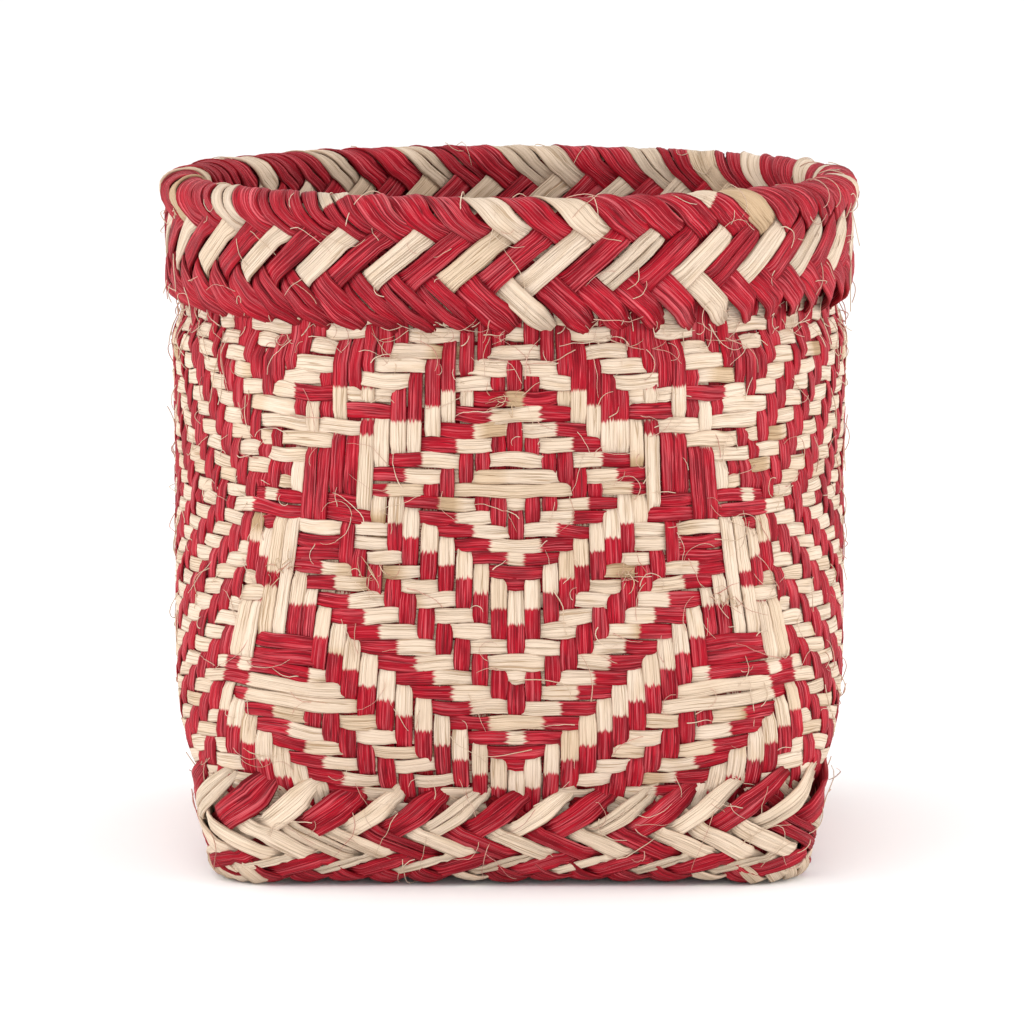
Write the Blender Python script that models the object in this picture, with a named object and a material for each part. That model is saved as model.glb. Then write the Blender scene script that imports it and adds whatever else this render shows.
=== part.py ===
"""A small plaited basket with a round mouth, a square foot and a braid round each.

The front faces -Y. The floor it stands on is z = 0, and the middle of the basket is x = y = 0.
A place round the basket is a turn: 0 is the middle of the front, 0.25 the middle of the right side.
"""

import math

import bmesh
import bpy
from mathutils import Vector

MM = 0.001

# Overall sizes
HEIGHT = 137.0 * MM
RIM_WALL_RADIUS = 66.9 * MM
BELLY_HALF_WIDTH = 69.1 * MM
SHOULDER_HALF_WIDTH = 66.6 * MM
FOOT_TOP_HALF_WIDTH = 60.0 * MM
FOOT_HALF_WIDTH = 57.2 * MM
FOOT_CORNER_SHARE = 0.18

# Thickness of each layer, and the gap that parts pieces lying on each other
STAKE_THICKNESS = 0.7 * MM
WEAVER_THICKNESS = 0.7 * MM
STRAND_THICKNESS = 0.7 * MM
TURNED_END_THICKNESS = 1.9 * MM
WRAP_THICKNESS = 1.2 * MM
LAYER_GAP = 0.3 * MM
STRAND_CLEARANCE = 0.4 * MM

# Wall
FLARE_HEIGHT = 40.0 * MM
FLARE_SHARPNESS = 4
NECK_HEIGHT = 7.0 * MM
STAKE_CORNER_GAP = 2.0 * MM

# Rim braid: three rows, the first one rolled over the top
RIM_ROLL_RADIUS = 2.6 * MM
RIM_ROW_HEIGHTS = (10.5 * MM, 9.8 * MM, 8.0 * MM)
TURNED_END_DROP = 16.0 * MM

# Foot braid: three rows, the last one turned under, and taller at the corners
FOOT_BRAID_TOP = 18.3 * MM
FOOT_ROW_HEIGHTS = (6.3 * MM, 4.7 * MM, 6.2 * MM)
FOOT_CORNER_RISE = 4.0 * MM
FOOT_RISE_START = 0.2
FOOT_BEND_RADIUS = 2.5 * MM
FLOOR_BEND_RADIUS = 1.5 * MM
FOOT_TURN_UNDER = math.radians(75)

# Strands: each braid repeats its zigzag this often for each strand, and the first strand of the rim
# folds so many pitches right of the middle of the front
ZIGZAGS = 7
STRAND_SIDE_GAP = 1.0 * MM
RIM_BRAID_START = 0.12

# Corner wraps
WRAP_WIDTH = 7.0 * MM
WRAP_TOP = 12.0 * MM
WRAP_FLAT_DEPTH = 0.5 * MM

# Facets: shares of a face from its middle, shares of the flare and of the belly above it, each from
# its foot, and steps round a bend
FACE_STEPS = (0.0, 0.13, 0.25, 0.35, 0.43)
FLARE_STEPS = (0.0, 0.19, 0.37, 0.64)
BELLY_STEPS = (0.1, 0.55)
NOSE_STEPS = 3
WRAP_STEPS = 4
SMOOTH_ANGLE = math.radians(35)

# Colours: linear red, green, blue
RED = (0.47, 0.02, 0.035, 1.0)
NATURAL = (0.78, 0.66, 0.48, 1.0)

# Worked out from the sizes above
BRAID_SHIFT = STRAND_THICKNESS + STRAND_CLEARANCE
BRAID_HALF_THICKNESS = BRAID_SHIFT + STRAND_THICKNESS / 2
BRAID_STANDOFF = LAYER_GAP + BRAID_HALF_THICKNESS
STAKE_OUTSIDE = -(WEAVER_THICKNESS + LAYER_GAP)
STAKE_INSIDE = STAKE_OUTSIDE - STAKE_THICKNESS
ROLL_CENTRE = BRAID_STANDOFF - RIM_ROLL_RADIUS
ROLL_START = HEIGHT - RIM_ROLL_RADIUS
WALL_TOP = ROLL_START - LAYER_GAP
RIM_BRAID_FOOT = ROLL_START + RIM_ROLL_RADIUS * math.pi / 2 - sum(RIM_ROW_HEIGHTS)
WRAP_OUTER_RADIUS = FOOT_BEND_RADIUS + BRAID_STANDOFF + BRAID_HALF_THICKNESS + LAYER_GAP + WRAP_THICKNESS
FOOT_BEND_START = WRAP_OUTER_RADIUS - WRAP_FLAT_DEPTH
FOOT_BRAID_RADIUS = FOOT_BEND_RADIUS + BRAID_STANDOFF

# A strand's way through a braid of three rows: pitches travelled round the basket from the top edge,
# and the layer it is in there. It folds at both edges, is in the outer or the inner layer where it
# meets other strands, and changes layer at each row's edge, halfway between two of them.
FOLD, ROLLED, OUTER, INNER, CHANGE = "fold", "rolled", "outer", "inner", "change"
ROW_TRAVEL = (1.25, 1.5, 1.25)
RIM_FALLING = (
    (0.0, ROLLED), (0.5, OUTER), (1.0, OUTER), (1.25, CHANGE),
    (2.0, INNER), (2.75, CHANGE), (3.0, OUTER),
)
RIM_RISING = (
    (4.0, FOLD), (3.25, INNER), (2.75, CHANGE), (2.5, OUTER),
    (1.5, OUTER), (1.25, CHANGE), (0.5, INNER),
)
FOOT_FALLING = ((0.0, FOLD),) + RIM_FALLING[1:] + ((3.5, OUTER),)
FOOT_RISING = (
    (4.0, FOLD), (3.5, INNER), (2.75, CHANGE), (2.5, OUTER),
    (1.5, OUTER), (1.25, CHANGE), (0.5, INNER),
)
STRANDS = round(2 * sum(ROW_TRAVEL))
PITCHES = STRANDS * ZIGZAGS


def clear_scene():
    for obj in list(bpy.data.objects):
        bpy.data.objects.remove(obj, do_unlink=True)


def smooth_step(share):
    share = min(max(share, 0.0), 1.0)
    return share * share * (3 - 2 * share)


def wall_half_width(z):
    """Half the width of the wall's outside at a height: foot, flare, belly and the neck under the rim."""
    if z < FOOT_BRAID_TOP:
        share = max(z - FOOT_BEND_START, 0.0) / (FOOT_BRAID_TOP - FOOT_BEND_START)
        return FOOT_HALF_WIDTH + (FOOT_TOP_HALF_WIDTH - FOOT_HALF_WIDTH) * share
    flare = 1 - (1 - min((z - FOOT_BRAID_TOP) / FLARE_HEIGHT, 1.0)) ** FLARE_SHARPNESS
    climb = (z - FOOT_BRAID_TOP) / (RIM_BRAID_FOOT - FOOT_BRAID_TOP)
    width = FOOT_TOP_HALF_WIDTH + (SHOULDER_HALF_WIDTH - FOOT_TOP_HALF_WIDTH) * flare
    width += (BELLY_HALF_WIDTH - SHOULDER_HALF_WIDTH) * climb
    neck = smooth_step((z - RIM_BRAID_FOOT + NECK_HEIGHT) / NECK_HEIGHT)
    return width + (RIM_WALL_RADIUS - width) * neck


def wall_corner_radius(z):
    """The corners open out from a rounded square at the foot to a circle at the rim."""
    share = min(max(z - FOOT_BRAID_TOP, 0.0) / (RIM_BRAID_FOOT - FOOT_BRAID_TOP), 1.0)
    roundness = FOOT_CORNER_SHARE + (1 - FOOT_CORNER_SHARE) * (1 - (1 - share) ** 2)
    return wall_half_width(z) * roundness


def wall_point(turn, z, outward):
    """A point outward of the wall's outside, square to it in plan, at a height."""
    half_width = wall_half_width(z)
    radius = wall_corner_radius(z)
    face = round(turn * 4)
    flat = half_width - radius
    along = (turn * 4 - face) * (2 * flat + radius * math.pi / 2)
    side = math.copysign(1.0, along)
    if abs(along) <= flat:
        place, normal = Vector((along, -half_width, 0)), Vector((0, -1, 0))
    else:
        angle = (abs(along) - flat) / radius
        normal = Vector((side * math.sin(angle), -math.cos(angle), 0))
        place = Vector((side * flat, -flat, 0)) + normal * radius
    place += normal * outward
    quarter = face * math.pi / 2
    cosine, sine = math.cos(quarter), math.sin(quarter)
    return Vector((place.x * cosine - place.y * sine, place.x * sine + place.y * cosine, z))


def level_point(turn, outward, z):
    """A point outward of the wall at a height, or in the foot, of the wall where it starts to bend under."""
    level = wall_point(turn, max(z, FOOT_BEND_START), outward)
    return Vector((level.x, level.y, z))


def wall_perimeter(z):
    half_width, radius = wall_half_width(z), wall_corner_radius(z)
    return 8 * (half_width - radius) + 2 * math.pi * radius


def face_turns():
    """Turns of the facets across one face, from its first stake to its last, relative to its middle."""
    face_length = wall_perimeter(FOOT_BEND_START) / 4
    last_stake = 0.5 - STAKE_CORNER_GAP / face_length
    right_half = [step / 4 for step in FACE_STEPS + (last_stake,)]
    left_half = [-turn for turn in reversed(right_half[1:])]
    return left_half + right_half


def ring_turns():
    """Turns of the facets all round, with one on each corner."""
    return [face / 4 + turn for face in range(4) for turn in face_turns() + [0.5 / 4]]


def wall_levels():
    """Heights of the facets up the wall, closest where it bends."""
    flare_top = FOOT_BRAID_TOP + FLARE_HEIGHT
    neck = RIM_BRAID_FOOT - NECK_HEIGHT
    flare = [FOOT_BRAID_TOP + FLARE_HEIGHT * share for share in FLARE_STEPS]
    belly = [flare_top + (neck - flare_top) * share for share in BELLY_STEPS]
    return [FOOT_BEND_START] + flare + belly + [neck, RIM_BRAID_FOOT, WALL_TOP]


def corner_rise(turn):
    """How much taller the foot braid is at a turn, as it climbs to each corner."""
    from_middle = abs(turn * 4 - round(turn * 4))
    return FOOT_CORNER_RISE * smooth_step((from_middle - FOOT_RISE_START) / (0.5 - FOOT_RISE_START))


def rim_braid_point(turn, down, outward):
    """A point of the rim braid: down is measured from its top edge, outward from its middle."""
    bend = max(1 - down / (RIM_ROLL_RADIUS * math.pi / 2), 0.0) * math.pi / 2
    radius = RIM_ROLL_RADIUS + outward
    straight = max(down - RIM_ROLL_RADIUS * math.pi / 2, 0.0)
    z = ROLL_START + radius * math.sin(bend) - straight
    level = wall_point(turn, WALL_TOP, ROLL_CENTRE + radius * math.cos(bend))
    return Vector((level.x, level.y, z))


def foot_braid_point(turn, down, outward):
    """A point of the foot braid: it hangs down the wall, then turns under the edge."""
    straight = FOOT_BRAID_TOP - FOOT_BEND_START
    if down < straight:
        z = FOOT_BEND_START + (straight + corner_rise(turn)) * (1 - down / straight)
        return wall_point(turn, z, BRAID_STANDOFF + outward)
    bend = (down - straight) / (sum(FOOT_ROW_HEIGHTS) - straight) * FOOT_TURN_UNDER
    radius = FOOT_BRAID_RADIUS + outward
    level = wall_point(turn, FOOT_BEND_START, radius * math.cos(bend) - FOOT_BEND_RADIUS)
    return Vector((level.x, level.y, FOOT_BEND_START - radius * math.sin(bend)))


def down_at(travel, row_heights):
    """How far below the braid's top edge a strand is after travelling so many pitches."""
    down = 0.0
    for pitches, height in zip(ROW_TRAVEL, row_heights):
        if travel <= pitches:
            return down + height * travel / pitches
        travel -= pitches
        down += height
    return down


def strand_ring(point, turn, down, layer, crown, half_turn):
    """Four corners of a strand's lens-shaped section: an edge, the crown, the other edge and the back.

    crown is +1 where the strand's face looks out of the basket and -1 after a fold has turned it over.
    At a fold the section lies flat, with its crown away from the braid. Rolled over the rim, it leans
    halfway between the strand's two legs, with its crown on top.
    """
    half = STRAND_THICKNESS / 2
    if layer == ROLLED:
        lean = STRAND_THICKNESS * math.sqrt(0.5)
        edges = [point(turn + side * half_turn, lean / 2, -lean / 2) for side in (-1, 1)]
        return [edges[0], point(turn, 0.0, 0.0), edges[1], point(turn, lean, -lean)]
    outward = {OUTER: BRAID_SHIFT, INNER: -BRAID_SHIFT}.get(layer, 0.0)
    edges = [point(turn + side * half_turn, down, outward) for side in (-1, 1)]
    if layer == FOLD:
        faces = [point(turn, max(down + side * half * crown, 0.0), 0.0) for side in (-1, 1)]
    else:
        faces = [point(turn, down, outward + side * half * crown) for side in (1, -1)]
    return [edges[0], faces[0], edges[1], faces[1]]


def strand_rings(point, first_fold, row_heights, falling, rising, perimeter, direction):
    """Sections of one strand all the way round the basket: it falls and rises once in each zigzag."""
    pitch = perimeter / PITCHES
    wide = (pitch - STRAND_SIDE_GAP) / 2
    narrow = (pitch / 2 - STRAND_SIDE_GAP) / 2
    middling = (wide + narrow) / 2
    half_widths = {OUTER: wide, INNER: wide, CHANGE: narrow, FOLD: middling, ROLLED: middling}
    leg = sum(ROW_TRAVEL)
    rings = []
    for zigzag in range(ZIGZAGS):
        start = first_fold + zigzag * STRANDS
        for stations, crown, origin, sign in ((falling, 1, start, 1), (rising, -1, start + 2 * leg, -1)):
            for travel, layer in stations:
                turn = direction * (origin + sign * travel) / PITCHES
                half_turn = direction * half_widths[layer] / perimeter
                down = down_at(travel, row_heights)
                rings.append(strand_ring(point, turn, down, layer, crown, half_turn))
    return rings


def mesh_object(name, verts, faces, colour, smooth_angle=None):
    """A named object with its own material, its faces turned outwards."""
    bm = bmesh.new()
    corners = [bm.verts.new(vert) for vert in verts]
    for face in faces:
        bm.faces.new([corners[index] for index in face])
    bmesh.ops.triangulate(bm, faces=bm.faces[:])
    if bm.calc_volume(signed=True) < 0:
        bmesh.ops.reverse_faces(bm, faces=bm.faces[:])
    mesh = bpy.data.meshes.new(name)
    bm.to_mesh(mesh)
    bm.free()
    if smooth_angle is not None:
        mesh.shade_smooth()
        mesh.set_sharp_from_angle(angle=smooth_angle)
    mesh.materials.append(fibre_material(name, colour))
    obj = bpy.data.objects.new(name, mesh)
    bpy.context.collection.objects.link(obj)
    return obj


def fibre_material(name, colour):
    material = bpy.data.materials.new(name)
    material.use_nodes = True
    shader = material.node_tree.nodes["Principled BSDF"]
    shader.inputs["Base Color"].default_value = colour
    shader.inputs["Roughness"].default_value = 0.75
    shader.inputs["Metallic"].default_value = 0.0
    return material


def loop_faces(rings, closed_along):
    """Quads between rings of points that are each closed in themselves."""
    around = len(rings[0])
    last = len(rings) if closed_along else len(rings) - 1
    faces = []
    for ring in range(last):
        here, there = ring * around, (ring + 1) % len(rings) * around
        for step in range(around):
            after = (step + 1) % around
            faces.append((here + step, here + after, there + after, there + step))
    return faces


def closed_loop_object(name, rings, colour, smooth_angle=None):
    """A ring-shaped solid: its sections follow each other round the basket and meet again."""
    verts = [point for ring in rings for point in ring]
    return mesh_object(name, verts, loop_faces(rings, True), colour, smooth_angle)


def open_loft_object(name, rings, colour, smooth_angle=None):
    """A solid lofted through its sections, with a cap at each end."""
    verts = [point for ring in rings for point in ring]
    around = len(rings[0])
    caps = [tuple(reversed(range(around))), tuple(range(len(verts) - around, len(verts)))]
    return mesh_object(name, verts, loop_faces(rings, False) + caps, colour, smooth_angle)


def stake_path(floor_drop):
    """Outside and inside of a stake from the wall's top to the floor: pairs of (outward, height)."""
    bend_centre = STAKE_OUTSIDE - FLOOR_BEND_RADIUS
    bend_height = FOOT_BEND_START - floor_drop
    path = [((STAKE_OUTSIDE, z), (STAKE_INSIDE, z)) for z in reversed(wall_levels())]
    for angle in (0.0, math.pi / 4, math.pi / 2)[0 if floor_drop else 1:]:
        pair = []
        for radius in (FLOOR_BEND_RADIUS, FLOOR_BEND_RADIUS - STAKE_THICKNESS):
            outward = bend_centre + radius * math.cos(angle)
            pair.append((outward, bend_height - radius * math.sin(angle)))
        path.append(tuple(pair))
    return path


def make_stakes(name, middle_turn, floor_drop, colour):
    """One set of stakes as a sheet: down one wall, across the floor and up the wall opposite."""
    path = stake_path(floor_drop)
    turns = face_turns()
    rings = []
    near = [(middle_turn, 1, pair) for pair in path]
    far = [(middle_turn + 0.5, -1, pair) for pair in reversed(path)]
    for middle, sign, ((out_1, z_1), (out_2, z_2)) in near + far:
        outside = [level_point(middle + sign * turn, out_1, z_1) for turn in turns]
        inside = [level_point(middle + sign * turn, out_2, z_2) for turn in reversed(turns)]
        rings.append(outside + inside)
    return open_loft_object(name, rings, colour, SMOOTH_ANGLE)


def make_weavers(colour):
    """The rows of weavers as one sleeve round the stakes."""
    levels = wall_levels()
    outline = [(z, 0.0) for z in levels] + [(z, -WEAVER_THICKNESS) for z in reversed(levels)]
    rings = [[wall_point(turn, z, outward) for z, outward in outline] for turn in ring_turns()]
    return closed_loop_object("weavers", rings, colour, SMOOTH_ANGLE)


def make_turned_ends(colour):
    """The stake ends bent down inside the mouth: a rounded top, then a lining against the stakes."""
    outside = STAKE_INSIDE - LAYER_GAP
    inside = outside - TURNED_END_THICKNESS
    top = HEIGHT - LAYER_GAP
    nose = (outside - inside) / 2
    outline = [(outside, WALL_TOP - TURNED_END_DROP), (outside, top - nose)]
    for step in range(1, NOSE_STEPS + 1):
        angle = math.pi * step / (NOSE_STEPS + 1)
        outline.append((inside + nose + nose * math.cos(angle), top - nose + nose * math.sin(angle)))
    outline += [(inside, top - nose), (inside, WALL_TOP - TURNED_END_DROP)]
    rings = []
    for turn in ring_turns():
        ring = []
        for outward, z in outline:
            level = wall_point(turn, WALL_TOP, outward)
            ring.append(Vector((level.x, level.y, z)))
        rings.append(ring)
    return closed_loop_object("turned_stake_ends", rings, colour, SMOOTH_ANGLE)


def make_rim_braid():
    perimeter = wall_perimeter(WALL_TOP)
    for number in range(STRANDS):
        start = number + RIM_BRAID_START
        rings = strand_rings(
            rim_braid_point, start, RIM_ROW_HEIGHTS, RIM_FALLING, RIM_RISING, perimeter, 1
        )
        colour = NATURAL if number % 4 == 3 else RED
        closed_loop_object(f"rim_strand_{number + 1}", rings, colour)


def make_foot_braid():
    perimeter = wall_perimeter(FOOT_BEND_START)
    for number in range(STRANDS):
        rings = strand_rings(
            foot_braid_point, number, FOOT_ROW_HEIGHTS, FOOT_FALLING, FOOT_RISING, perimeter, -1
        )
        colour = NATURAL if number % 2 else RED
        closed_loop_object(f"foot_strand_{number + 1}", rings, colour)


def wrap_outline():
    """Outside and inside of a corner wrap, from its top to its end under the floor, as (outward, height)."""
    centre = -FOOT_BEND_RADIUS
    inner_radius = WRAP_OUTER_RADIUS - WRAP_THICKNESS
    flat = math.asin(FOOT_BEND_START / WRAP_OUTER_RADIUS)
    angles = [flat * step / WRAP_STEPS for step in range(WRAP_STEPS + 1)] + [math.pi - flat]
    top = (WRAP_OUTER_RADIUS + centre, WRAP_TOP), (inner_radius + centre, WRAP_TOP)
    path = [top]
    for angle in angles:
        pair = []
        for radius in (WRAP_OUTER_RADIUS, inner_radius):
            pair.append((centre + radius * math.cos(angle), FOOT_BEND_START - radius * math.sin(angle)))
        path.append(tuple(pair))
    return path


def make_corner_wrap(name, corner_turn, colour):
    """A strip bent under one corner of the foot, cut flat where the basket stands on it."""
    half_turn = WRAP_WIDTH / 2 / wall_perimeter(FOOT_BEND_START)
    turns = [corner_turn - half_turn, corner_turn, corner_turn + half_turn]
    rings = []
    for (out_1, z_1), (out_2, z_2) in wrap_outline():
        outside = [level_point(turn, out_1, z_1) for turn in turns]
        inside = [level_point(turn, out_2, z_2) for turn in reversed(turns)]
        rings.append(outside + inside)
    return open_loft_object(name, rings, colour)


def main():
    clear_scene()
    floor_layer = STAKE_THICKNESS + LAYER_GAP
    make_stakes("stakes_front_back", 0.0, floor_layer, RED)
    make_stakes("stakes_left_right", 0.25, 0.0, RED)
    make_weavers(NATURAL)
    make_turned_ends(RED)
    make_rim_braid()
    make_foot_braid()
    corners = ("front_right", "back_right", "back_left", "front_left")
    for index, corner in enumerate(corners):
        make_corner_wrap(f"corner_wrap_{corner}", (index + 0.5) / 4, NATURAL)


main()
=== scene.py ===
"""A small plaited basket of dyed and natural plant strips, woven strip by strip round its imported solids.

A place round the basket is a turn: 0 is the middle of the front, 0.25 the middle of the right side.
A strip is a path with what it carries at each point, and one tree of geometry nodes sweeps them all.
"""

import math

import bpy
import numpy as np
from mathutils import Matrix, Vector


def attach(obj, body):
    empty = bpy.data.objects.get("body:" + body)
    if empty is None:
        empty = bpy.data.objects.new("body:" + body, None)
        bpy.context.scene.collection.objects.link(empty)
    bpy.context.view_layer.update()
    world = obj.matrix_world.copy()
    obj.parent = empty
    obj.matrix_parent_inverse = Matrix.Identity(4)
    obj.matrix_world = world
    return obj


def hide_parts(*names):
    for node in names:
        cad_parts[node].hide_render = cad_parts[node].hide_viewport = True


bl_info = {
    "name": "Woven Basket",
    "version": (1, 0, 0),
    "blender": (4, 5, 0),
    "location": "3D View > Sidebar > Basket",
    "description": "Weaves a small basket of plant strips, with a braid round its rim and its foot",
    "category": "Object",
}

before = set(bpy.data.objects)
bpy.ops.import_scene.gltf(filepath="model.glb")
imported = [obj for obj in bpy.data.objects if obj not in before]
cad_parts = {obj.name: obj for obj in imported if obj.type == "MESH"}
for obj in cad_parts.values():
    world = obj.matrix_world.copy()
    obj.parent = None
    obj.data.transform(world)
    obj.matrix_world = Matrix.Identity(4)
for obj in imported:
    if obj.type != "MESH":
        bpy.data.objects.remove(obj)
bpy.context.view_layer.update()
MM = 0.001

# The wall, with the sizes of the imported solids
HEIGHT = 137.0 * MM
RIM_WALL_RADIUS = 66.9 * MM
BELLY_HALF_WIDTH = 69.1 * MM
SHOULDER_HALF_WIDTH = 66.6 * MM
FOOT_TOP_HALF_WIDTH = 60.0 * MM
FOOT_HALF_WIDTH = 57.2 * MM
FOOT_CORNER_SHARE = 0.18
FLARE_HEIGHT = 40.0 * MM
FLARE_SHARPNESS = 4
NECK_HEIGHT = 7.0 * MM
RIM_BRAID_FOOT = 110.2 * MM
FOOT_BRAID_TOP = 18.3 * MM
FOOT_CORNER_RISE = 4.0 * MM
FOOT_RISE_START = 0.2
FOOT_BEND_START = 6.7 * MM
FOOT_BEND_RADIUS = 2.5 * MM
FLOOR_HEIGHT = 5.1 * MM
FLOOR_BEND_RADIUS = 1.5 * MM

# The weave: rows count down from the middle of the front's diamonds, columns to the right of it
STAKES_PER_FACE = 35
STAKES = 4 * STAKES_PER_FACE
OUTER_COLUMN = STAKES_PER_FACE // 2
ROW_PITCH = 3.06 * MM
ROW_ZERO_HEIGHT = 79.7 * MM
TOP_ROW, BOTTOM_ROW = -13, 24
# Below the middle the rows lie closer together, so that one more fits in by this row
CLOSE_ROWS_START, CLOSE_ROWS_END = -1, 7
# The rows climb to the corners with the foot braid: in full up to a height, then less and less
CLIMB_FULL, CLIMB_FADE = 20 * MM, 40 * MM
SIDE_MIDDLE_ROW = 2
# The front's rings, counted out from its middle in a cycle: those where the stakes lie on top and those
# that are red. Down to a row, plain bands take over from a ring on. In the highest rows red stakes lie on
# top inside a ring
RING_CYCLE = 12
STAKE_RINGS = (2, 3, 8, 9, 10, 11)
RED_RINGS = (2, 3, 6, 7, 10, 11)
BANDS_BOTTOM_ROW, BAND_START, BAND_WIDTH = -2, 10, 3
TOP_STAKES_ROW, TOP_STAKES_RINGS = -7, 8
# Three rows of the front's middle diamond were plaited wider than its rings ask for
UNEVEN_ROWS = {-2: 0, -1: -1, 0: -2}
# Blocks on both sides of that diamond that stray from its rings, by the strips that lie on top there,
# each as its first and last column and its first and last row
STRAY_BLOCKS = {
    "red stake": (
        (11, 11, -9, -7), (12, 12, -5, -5), (10, 11, -3, 0), (12, 13, -2, 2), (10, 10, 3, 5),
        (12, 13, 9, 10),
    ),
    "natural stake": (
        (11, 11, -6, -5), (9, 9, -6, -6), (13, 13, -5, -4), (7, 7, -4, -3), (8, 8, -4, -2),
        (9, 9, -3, 1), (8, 8, 1, 2), (14, 14, -1, 0), (14, 15, 3, 5), (14, 15, 8, 10), (16, 17, 9, 12),
    ),
    "red weaver": (
        (8, 10, -5, -5), (12, 14, -6, -6), (10, 11, 1, 1), (9, 11, 2, 2), (14, 15, 1, 2),
        (11, 13, 4, 5), (12, 15, 11, 13),
    ),
    "natural weaver": (
        (10, 12, -4, -4), (14, 16, -4, -4), (12, 15, -3, -3), (14, 16, -2, -2), (8, 9, 3, 3),
        (11, 13, 3, 3), (11, 14, 14, 14), (10, 15, 15, 15),
    ),
}
WEAVE_DEPTH = -0.75 * MM
# How round a strip's section is: 1 is an ellipse, less is flatter
SECTION_ROUNDNESS = 0.45
STEPS_IN_CROSSING = np.array([-1, 0, 1]) / 3
WEAVER_START = 85
# How much wider apart the stakes stand in the middle of a face, and how far round the basket the middle
# of the pattern is shifted: less and less over so many columns, and no more from a column on
MIDDLE_STRETCH = 0.035
PATTERN_SHIFT = 0.0027
SHIFT_END, SHIFT_FADE = 9, 7
# A strip at a crossing: how much further out it is within a longer run, and how far out and how wide it
# is at an edge where it changes sides, as shares of the full height and width
LONG_RUN_RISE = 0.2
EDGE_HEIGHT, EDGE_WIDTH = 0.3, 0.93
# The angles of a stake's turn from the wall into the floor, and the least distance of its crossings in
# the floor from the wall
EDGE_ANGLES = np.radians((20.0, 45.0, 70.0))
FLOOR_MARGIN = 2.0 * MM
# The waves that a random wander is made of, as the stretch and the size of each
WAVES = ((0.5, 1.0), (0.23, 0.6), (0.11, 0.4))
# Over what length a stake's way, width, tone and tilt change, and how much its width and tone do
STAKE_WANDER_SCALE, STAKE_WIDTH_SCALE = 60 * MM, 30 * MM
STAKE_TONE_SCALE, STAKE_TILT_SCALE = 80 * MM, 25 * MM
STAKE_WIDTH_CHANGE, STAKE_TONE_CHANGE = 0.07, 0.25
# A weaver's waves: how many, from how many to below how many periods each has round the basket, and by
# what their sum is divided
WANDER_WAVES, TILT_WAVES, SWELL_WAVES = (5, 2, 40, 2.5), (4, 5, 60, 3), (3, 5, 70, 1)
WEAVER_WIDTH_CHANGE, WEAVER_TONE_CHANGE = 0.04, 0.15
# The least and greatest share of its full width that a strip of each kind has
STAKE_WIDTHS, WEAVER_WIDTHS = (0.92, 1.03), (0.94, 1.03)
STRAND_WIDTHS, WRAP_WIDTHS = (0.92, 1.04), (0.9, 1.1)
# Brown stretches of a strip: how many there may be, half the length of one on a stake, and on a weaver as
# a share of the way round, how sharply one starts and ends, and how brown it is
MOST_PATCHES = 12
STAKE_PATCH, WEAVER_PATCH = 5 * MM, 0.012
PATCH_SHARPNESS = 1.6
PATCH_TONES = (1.0, 1.9)

# The braids: a strand's travel is counted in pitches along the basket, from the braid's top edge
BRAID_PITCHES = 56
BRAID_DEPTH = 1.9 * MM
RIM_ROLL_RADIUS = 2.5 * MM
RIM_ROLL_CENTRE = BRAID_DEPTH - RIM_ROLL_RADIUS
RIM_ROLL_HEIGHT = 133.2 * MM
ROLL_SWELL, ROLL_SWELL_REACH = 0.9 * MM, 5 * MM
FOOT_BRAID_DROP = 0.75 * MM
# A strand's ends: how much earlier one ends that lies under others, how deep an end dives as a multiple
# of the swing, how much narrower it gets and how far it is tucked, which darkens it as painted shade. Its
# points are a step of travel apart
HIDDEN_END = 0.45
END_DEPTH = 2.9
END_TAPER = 0.3
END_TUCK = 0.8
TRAVEL_STEP = 0.1
# How far from a row's edge a strand has its full height, and how soon it has its full width
SIDE_CHANGE = 0.25
LEAF_ROUNDNESS = 0.7
# A strand's wander, in pitches, the travel over which its way and its tilt change, and its stray height
STRAND_WANDER = 0.04
STRAND_WANDER_SCALE, STRAND_TILT_SCALE = 2.0, 1.5
STRAND_STRAY = 0.08 * MM
# A split strand: the left part's share of the width, how far apart the two lie against two that touch,
# how far they are lifted, in millimetres, and tipped, and what is left of each one's width
SPLIT_SHARES = (0.35, 0.65)
SPLIT_GAP = 1.04
SPLIT_LIFTS = (-0.1, 0.12)
SPLIT_TIP = 0.12
SPLIT_WIDTH = 0.97

# Each braid's row edges, as a strand's travel and how far it is down there. The strands that move to the
# left on their way down are on top in the first row. The shares are a strand's width in each row, as a
# share of the distance to the next
RIM_BRAID = {
    "travel": (-2.75, -1.25, 1.25, 2.75, 4.0),
    "down": (-17.0 * MM, -7.2 * MM, 7.2 * MM, 17.0 * MM, 25.7 * MM),
    "phase": 0.12,
    "waist": 0.95,
    "red_shares": (1.0, 1.16, 1.04, 1.2),
    "natural_shares": (1.0, 1.12, 1.0, 1.0),
    "lean": 0.07,
    "ending": 0.6,
}
FOOT_BRAID = {
    "travel": (-0.25, 1.25, 2.75, 4.25, 5.75),
    "down": (-0.9 * MM, 6.4 * MM, 11.2 * MM, 14.2 * MM, 19.2 * MM),
    "phase": 0.3,
    "waist": 0.72,
    "red_shares": (1.22, 1.2, 1.5, 1.45),
    "natural_shares": (0.92, 1.08, 0.8, 0.9),
    "lean": 0.1,
    "ending": 1.0,
}

# How often the dye's edge is spread along a strip by one point to each side
DYE_SPREAD = 1

# Spots on the front where the weave is frayed and brown, as a column of stakes and a height
FRAYED_SPOTS = (
    (-14.6, 63.0 * MM),
    (-8.0, 63.0 * MM),
    (-0.6, 98.0 * MM),
    (7.0, 63.0 * MM),
    (13.4, 58.0 * MM),
)
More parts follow.
